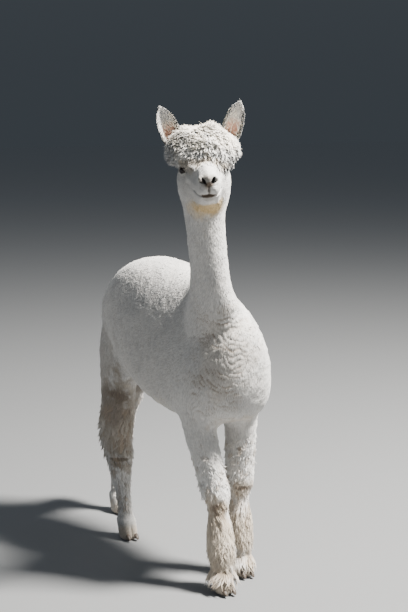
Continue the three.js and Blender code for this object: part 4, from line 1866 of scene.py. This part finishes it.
    def topknot(self) -> None:
        """A mop of longer locks over the poll and down to the brow, in pointed clumps."""
        roots, normals, _, random = self._rooted(self.knotted, self.topknot_locks, 21)
        count = len(roots)
        crown = ease(60, 120, HEAD.local(roots)[:, 2])
        lengths = scattered(random, count, 28, 7) * (0.85 + 0.35 * lumps(roots, 0.04, 23))
        lengths = lengths * (1 + 0.15 * crown)
        ways = self._mop_ways(roots, random)
        ways, owner = gathered(roots, ways, lengths, 8, (0.3, 0.85), random)
        lengths *= 0.86 + 0.28 * per_clump(random, owner)
        ways = self._kept_off_eyes(roots, ways, lengths)
        tones = clump_tones(random, owner, 0.5)
        stains = 0.25 * ease(0.6, 0.8, lumps(roots, 0.02, 24)) * random.uniform(0, 1, count)
        widths = scattered(random, count, 6.6, 1.6)
        growth = Growth(roots, self._skyward(normals), ways, lengths, widths, tones,
                        np.full(count, self.airy), stains)
        style = LockStyle(droop=0.10, wave=0.12, hug=0.16, soft=0.88)
        self._add("topknot_locks", growth, style, Surface.LONG, 2)
        roots, normals, _ = self.pelt.sample(self.knotted, self.under_wool_locks, 25)
        count = len(roots)
        lengths = scattered(random, count, 21, 4)
        ways = self._kept_off_eyes(roots, self._mop_ways(roots, random), lengths)
        widths = scattered(random, count, 9.0, 1.8)
        growth = Growth(roots, self._skyward(normals), ways, lengths, widths, None,
                        np.full(count, self.airy))
        self._add("topknot_under_wool", growth, SHORN, Surface.LONG)

    @staticmethod
    def _skyward(normals: Array) -> Array:
        """Normals turned a little upwards, as light from above soaks through loose wool."""
        return unit(normals + np.array([0, 0, 0.4]))

    def _mop_ways(self, roots: Array, random: Random) -> Array:
        """Directions of the topknot's locks: outwards, and hanging lower down its sides, in whorls.

        Args:
            roots: Where the locks grow.
            random: Random numbers.

        Returns:
            A direction for each lock.
        """
        places = HEAD.local(roots)
        out = unit((places - self.knot_middle) / np.array(self.knot_reach) ** 2)
        level = unit(out * np.array([1, 1, 0]) + 1e-6)
        low = ease(115, 40, places[:, 2])[:, None]
        front = ease(-10, 55, places[:, 1])[:, None]
        whorl = whorls(roots, 0.028, 26)
        lean = level * (0.35 + 0.12 * (1 - low)) - low * np.array([0, 0, 0.55])
        lean = lean + front * np.array([0, 0.25, 0])
        ways = (0.68 - 0.08 * (1 - low)) * out + lean
        return unit(HEAD.direction(ways) + 1.1 * whorl + random.normal(0, 0.15, (len(roots), 3)))

    @staticmethod
    def _kept_off_eyes(roots: Array, ways: Array, lengths: Array) -> Array:
        """Raises the tips that would hang over the eyes and the muzzle.

        Args:
            roots: Where the topknot's locks grow.
            ways: Their directions.
            lengths: Their lengths.

        Returns:
            The new directions.
        """
        tips = HEAD.local(roots + ways * lengths[:, None])
        front = ease(-80, -15, tips[:, 1])
        middle = ease(26, 12, np.abs(tips[:, 0])) * ease(40, 55, tips[:, 1])
        sides = ease(34, 44, np.abs(tips[:, 0])) * ease(-25, 0, tips[:, 1])
        covered = ease(28, 36, tips[:, 0]) * ease(22, 32, tips[:, 1])  # a tuft before the left eye
        floor = -4 + 25 * front + 8 * middle + 6 * sides - 24 * covered
        waver = (4 - 2 * sides) * np.sin(tips[:, 0] * 0.9 + tips[:, 1] * 0.7)
        tips[:, 2] = np.maximum(tips[:, 2], floor + waver + 0.1 * lengths / MM)
        return unit(HEAD.world(tips) - roots)

    def leg_wool(self) -> None:
        """Long matted wool that hangs from the knees to the feet."""
        mask = self.fore * between(self.pelt.middles, 0.07, 0.262)
        roots, normals, found, random = self._rooted(mask, self.leg_locks, 31)
        count = len(roots)
        sway = random.normal(0, 0.10, (count, 3)) + 0.9 * whorls(roots, 0.035, 33)
        ways = unit(across_mesh(normals, found.lie + sway) + 0.36 * normals)
        lengths = np.minimum(scattered(random, count, 46, 14), roots[:, 2] * 0.86)
        ways, owner = gathered(roots, ways, lengths, 13, (0.3, 0.85), random)
        tones = clump_tones(random, owner, 0.35)
        stains = np.clip(per_clump(random, owner, -0.6, 0.75), 0, 1) * random.uniform(0.5, 1, count)
        # painted shade at the roots, more in some locks than others
        growth = Growth(roots, normals, ways, lengths, scattered(random, count, 5.8, 1.8), tones,
                        0.9 * random.uniform(0, 1, count), stains)
        style = LockStyle(droop=0.08, hug=0.16, wave=0.11, soft=0.34)
        self._add("leg_wool", growth, style, Surface.LONG)

    def shank_wool(self) -> None:
        """Woolly clumps on the hind legs, and round the forelegs' knees."""
        middles = self.pelt.middles
        mask = self.hind * between(middles, 0.10, 0.47, 0.03)
        knees = self.fore * between(middles, 0.255, 0.34)
        mask += knees + 0.55 * self.fore * between(middles, 0.34, 0.45, 0.04)
        roots, normals, found, random = self._rooted(mask, self.shank_locks, 36)
        count = len(roots)
        lift = (0.3 + 0.4 * lumps(roots, 0.03, 29))[:, None]
        ways = unit(across_mesh(normals, found.lie + 1.5 * whorls(roots, 0.03, 38)) + lift * normals)
        rear = np.maximum(found.of(Region.HIND_LEFT), found.of(Region.HIND_RIGHT))
        full = rear * between(roots, 0.31, 0.42, 0.05) * ease(-0.1, 0.5, normals[:, 1])
        ways = unit(ways + 0.6 * full[:, None] * normals)
        lengths = scattered(random, count, 17, 4) + 0.007 * rear * ease(0.24, 0.32, roots[:, 2])
        lengths = lengths + 0.009 * full
        ways, owner = gathered(roots, ways, lengths, 11, (0.35, 0.9), random)
        tones = clump_tones(random, owner, 0.4)
        stains = np.clip(per_clump(random, owner, -0.6, 0.7), 0, 1)
        # painted shade at the roots, more in some locks than others
        growth = Growth(roots, normals, ways, lengths, scattered(random, count, 5.4, 1.5), tones,
                        0.8 * random.uniform(0, 1, count), stains)
        self._add("shank_wool", growth, MATTED, Surface.LONG)

    def foot_hair(self) -> None:
        """Short hair over the toes."""
        mask = ease(0.12, 0.08, self.height) * ease(0.003, 0.010, self.height)
        roots, normals, found, random = self._rooted(mask, self.foot_hairs, 43)
        count = len(roots)
        ways = unit(across_mesh(normals, found.lie + random.normal(0, 0.2, (count, 3))) + 0.25 * normals)
        lengths = np.minimum(scattered(random, count, 9, 3), roots[:, 2] * 0.9)
        growth = Growth(roots, normals, ways, lengths, np.full(count, 2.8 * MM))
        self._add("foot_hair", growth, SHORN, Surface.SHORT)

    def face_hair(self) -> None:
        """Very short hair on the face, longer towards the cheeks."""
        pelt = self.pelt
        forward, up = pelt.local[:, 1], pelt.local[:, 2]
        face = pelt.survey.of(Region.HEAD) * self.off_ear * (1 - self.knotted) * (forward > -25) * (up < 45)
        face *= np.clip(1 - pelt.values["bare"] * 2.5, 0, 1)
        for eye in EYES.values():
            inwards, upwards, radius = eye.angles(pelt.local)
            face *= 1 - (radius < 26) * (eye.opening(inwards, upwards) < 1.22)
        face *= 0.7 + 1.6 * ease(20, 90, forward)
        roots, normals, _, random = self._rooted(face, self.face_hairs, 41)
        places = HEAD.local(roots)
        count = len(roots)
        back = np.stack([0.35 * np.sign(places[:, 0]), np.full(count, -1.0), np.full(count, -0.35)], 1)
        wool = ease(66, 0, places[:, 1])
        sway = random.normal(0, 1, (count, 3)) * (0.16 + 0.2 * wool)[:, None]
        lift = (0.10 + 0.20 * wool)[:, None]
        ways = unit(across_mesh(normals, HEAD.direction(back) + sway) + lift * normals)
        nose = ease(112, 128, places[:, 1])
        lengths = (4.4 + 7.0 * wool - 2.2 * nose + 1.0 * random.uniform(-1, 1, count)) * MM
        widths = (1.7 + 2.0 * wool - 0.5 * nose) * MM
        # painted shade at the roots of the cheeks' wool, more in some hairs than others
        folds = 0.6 * wool * random.uniform(0, 1, count)
        growth = Growth(roots, normals, ways, lengths, widths, None, folds)
        self._add("face_hair", growth, SHORN, Surface.SHORT)

    def ear_hair(self) -> None:
        """Short hair outside the ears, and a pale fringe from their rims over the hollow."""
        values = self.pelt.values
        ear, pink = values["ear"] != 0, values["pink"]
        random = np.random.default_rng(52)
        density = ear * (1 - 0.9 * ease(0.1, 0.6, pink))
        roots, normals, chosen = self.pelt.sample(density, self.ear_hairs, 51)
        count = len(roots)
        sway = random.normal(0, 0.2, (count, 3))
        ways = unit(across_mesh(normals, self._to_tip(roots, chosen, 0.0) + sway) + 0.2 * normals)
        lengths = scattered(random, count, 7, 2.2)
        growth = Growth(roots, normals, ways, lengths, np.full(count, 2.4 * MM), None,
                        np.full(count, 2 * self.airy))
        self._add("ear_hair", growth, SHORN, Surface.SHORT)
        rim = ear * (values["rim"] > 0.5) * (1 - 0.6 * ease(0.1, 0.5, pink))
        roots, normals, chosen = self.pelt.sample(rim, self.fringe_hairs, 53)
        count = len(roots)
        sway = random.normal(0, 0.16, (count, 3))
        ways = unit(self._to_tip(roots, chosen, 0.55) + 0.3 * normals + sway)
        lengths = scattered(random, count, 13, 3)
        growth = Growth(roots, normals, ways, lengths, np.full(count, 2.6 * MM), None,
                        np.full(count, 2 * self.airy))
        self._add("ear_fringe", growth, LockStyle(wave=0.05, hug=0.1, soft=0.5), Surface.SHORT)

    def _to_tip(self, roots: Array, chosen: Array, inward: float) -> Array:
        """Directions towards the tip of each root's own ear, and inwards over its hollow.

        Args:
            roots: Where the hairs grow.
            chosen: Numbers of the skin's triangles that hold them.
            inward: How much they also lean over the hollow.

        Returns:
            A direction for each hair.
        """
        side = np.sign(self.pelt.values["ear"][chosen])[:, None]
        ways = np.zeros_like(roots)
        here = HEAD.local(roots)
        for ear in (EarShape(1), EarShape(-1)):
            root, along, across, _ = ear.frame()
            out = ((here - root) @ across)[:, None] * across
            heading = unit(root + 1.15 * along - here) - inward * unit(out + 1e-6)
            ways = np.where(side == ear.side, HEAD.direction(unit(heading)), ways)
        return ways

    def tail_wool(self) -> None:
        """Hanging wool on the tail."""
        mask = self.pelt.survey.of(Region.TAIL) ** 2
        roots, normals, found, random = self._rooted(mask, self.tail_locks, 61)
        count = len(roots)
        ways = unit(across_mesh(normals, found.lie + random.normal(0, 0.2, (count, 3))) + 0.36 * normals)
        lengths = scattered(random, count, 32, 9)
        ways, owner = gathered(roots, ways, lengths, 9, (0.3, 0.8), random)
        tones = per_clump(random, owner)
        # painted shade at the roots, more in some locks than others
        growth = Growth(roots, normals, ways, lengths, scattered(random, count, 6.0, 2.0), tones,
                        0.5 * random.uniform(0, 1, count))
        self._add("tail_wool", growth, MATTED, Surface.LONG)


# ---------------- studio


@dataclass(frozen=True)
class Lamp:
    """A square soft light that looks at the animal."""

    name: str
    azimuth: float  # degrees from behind the camera, clockwise seen from above
    height: float
    distance: float
    size: float
    power: float
    colour: Triple = (1, 1, 1)

    def build(self, heading: float, target: Vector) -> None:
        """Hangs the light.

        Args:
            heading: Direction that the camera looks in, as an angle.
            target: What the light looks at.
        """
        data = bpy.data.lights.new(self.name, "AREA")
        data.size = self.size
        data.energy = self.power
        data.color = self.colour
        light = in_scene(self.name, data)
        light.visible_camera = False
        angle = heading + math.radians(self.azimuth)
        across, ahead = math.sin(angle) * self.distance, -math.cos(angle) * self.distance
        light.location = Vector((across, ahead, self.height))
        light.rotation_euler = (target - light.location).to_track_quat("-Z", "Y").to_euler()


@dataclass(frozen=True)
class Studio:
    """Floor, lights and camera."""

    camera_place: Triple = (-1.9156, -3.4873, 1.45)  # before the shift
    heading: float = math.radians(-28)
    pitch: float = math.radians(8.53)
    focal_pixels: float = 1340.0
    image_height: float = 612.0
    sensor: float = 36.0
    floor_half: float = 40.0
    target: Triple = (0, -0.05, 0.75)  # what the lamps look at
    horizon: Triple = (0.172, 0.203, 0.238)
    zenith: Triple = (0.76, 0.87, 1.0)
    daylight: float = 0.25
    lamps: tuple[Lamp, ...] = (
        Lamp("key", 72, 5.2, 3.0, 1.0, 1750, (1.0, 0.965, 0.91)),
        Lamp("back", -150, 3.6, 3.6, 2.4, 16),
        Lamp("fill", -30, 2.2, 4.6, 3.2, 8, (0.88, 0.94, 1.0)),
    )

    def build(self) -> None:
        """Sets the whole studio."""
        self._floor()
        self._camera()
        self._world()
        for lamp in self.lamps:
            lamp.build(self.heading, Vector(self.target))

    def _floor(self) -> None:
        """A wide plain floor."""
        half = self.floor_half
        corners = [(-half, -half, 0), (half, -half, 0), (half, half, 0), (-half, half, 0)]
        mesh = mesh_from("floor", np.array(corners, float), np.array([(0, 1, 2), (0, 2, 3)]))
        mesh.materials.append(FloorFinish().material())
        floor = in_scene("floor", mesh)

    def _camera(self) -> None:
        """The camera, at head height in front of the animal's right shoulder."""
        data = bpy.data.cameras.new("camera")
        data.sensor_width = self.sensor
        data.lens = self.focal_pixels * self.sensor / self.image_height
        camera = in_scene("camera", data)
        camera.location = Vector(np.array(self.camera_place) + SHIFT)
        camera.rotation_euler = (math.pi / 2 - self.pitch, 0, self.heading)
        bpy.context.scene.camera = camera

    def _world(self) -> None:
        """Even pale light from all round, stronger from above."""
        graph = Graph(bpy.data.worlds.new("studio"), "Background")
        direction = graph.add("ShaderNodeTexCoord", output="Generated")
        rise = graph.add("ShaderNodeSeparateXYZ", None, {0: direction}, "Z")
        colour = graph.mix(rise.step(0.0, 0.9), self.horizon, self.zenith)
        bpy.context.scene.world = graph.finish({"Color": colour, "Strength": self.daylight})


# ---------------- all together

NAIL_HORN = HornFinish().material()


def main() -> None:
    """Builds the animal and the studio."""
    logging.basicConfig(level=logging.INFO, format="%(message)s")
    skin = Skin().build()
    for name in SIDES:
        Eyeball(name).build()
    for leg in LEGS:
        for side in SIDES:
            Toenail(f"nail_{leg}_{side}").build()
    Coat(Pelt(skin)).grow_all()
    Studio().build()


if __name__ == "__main__":
    main()
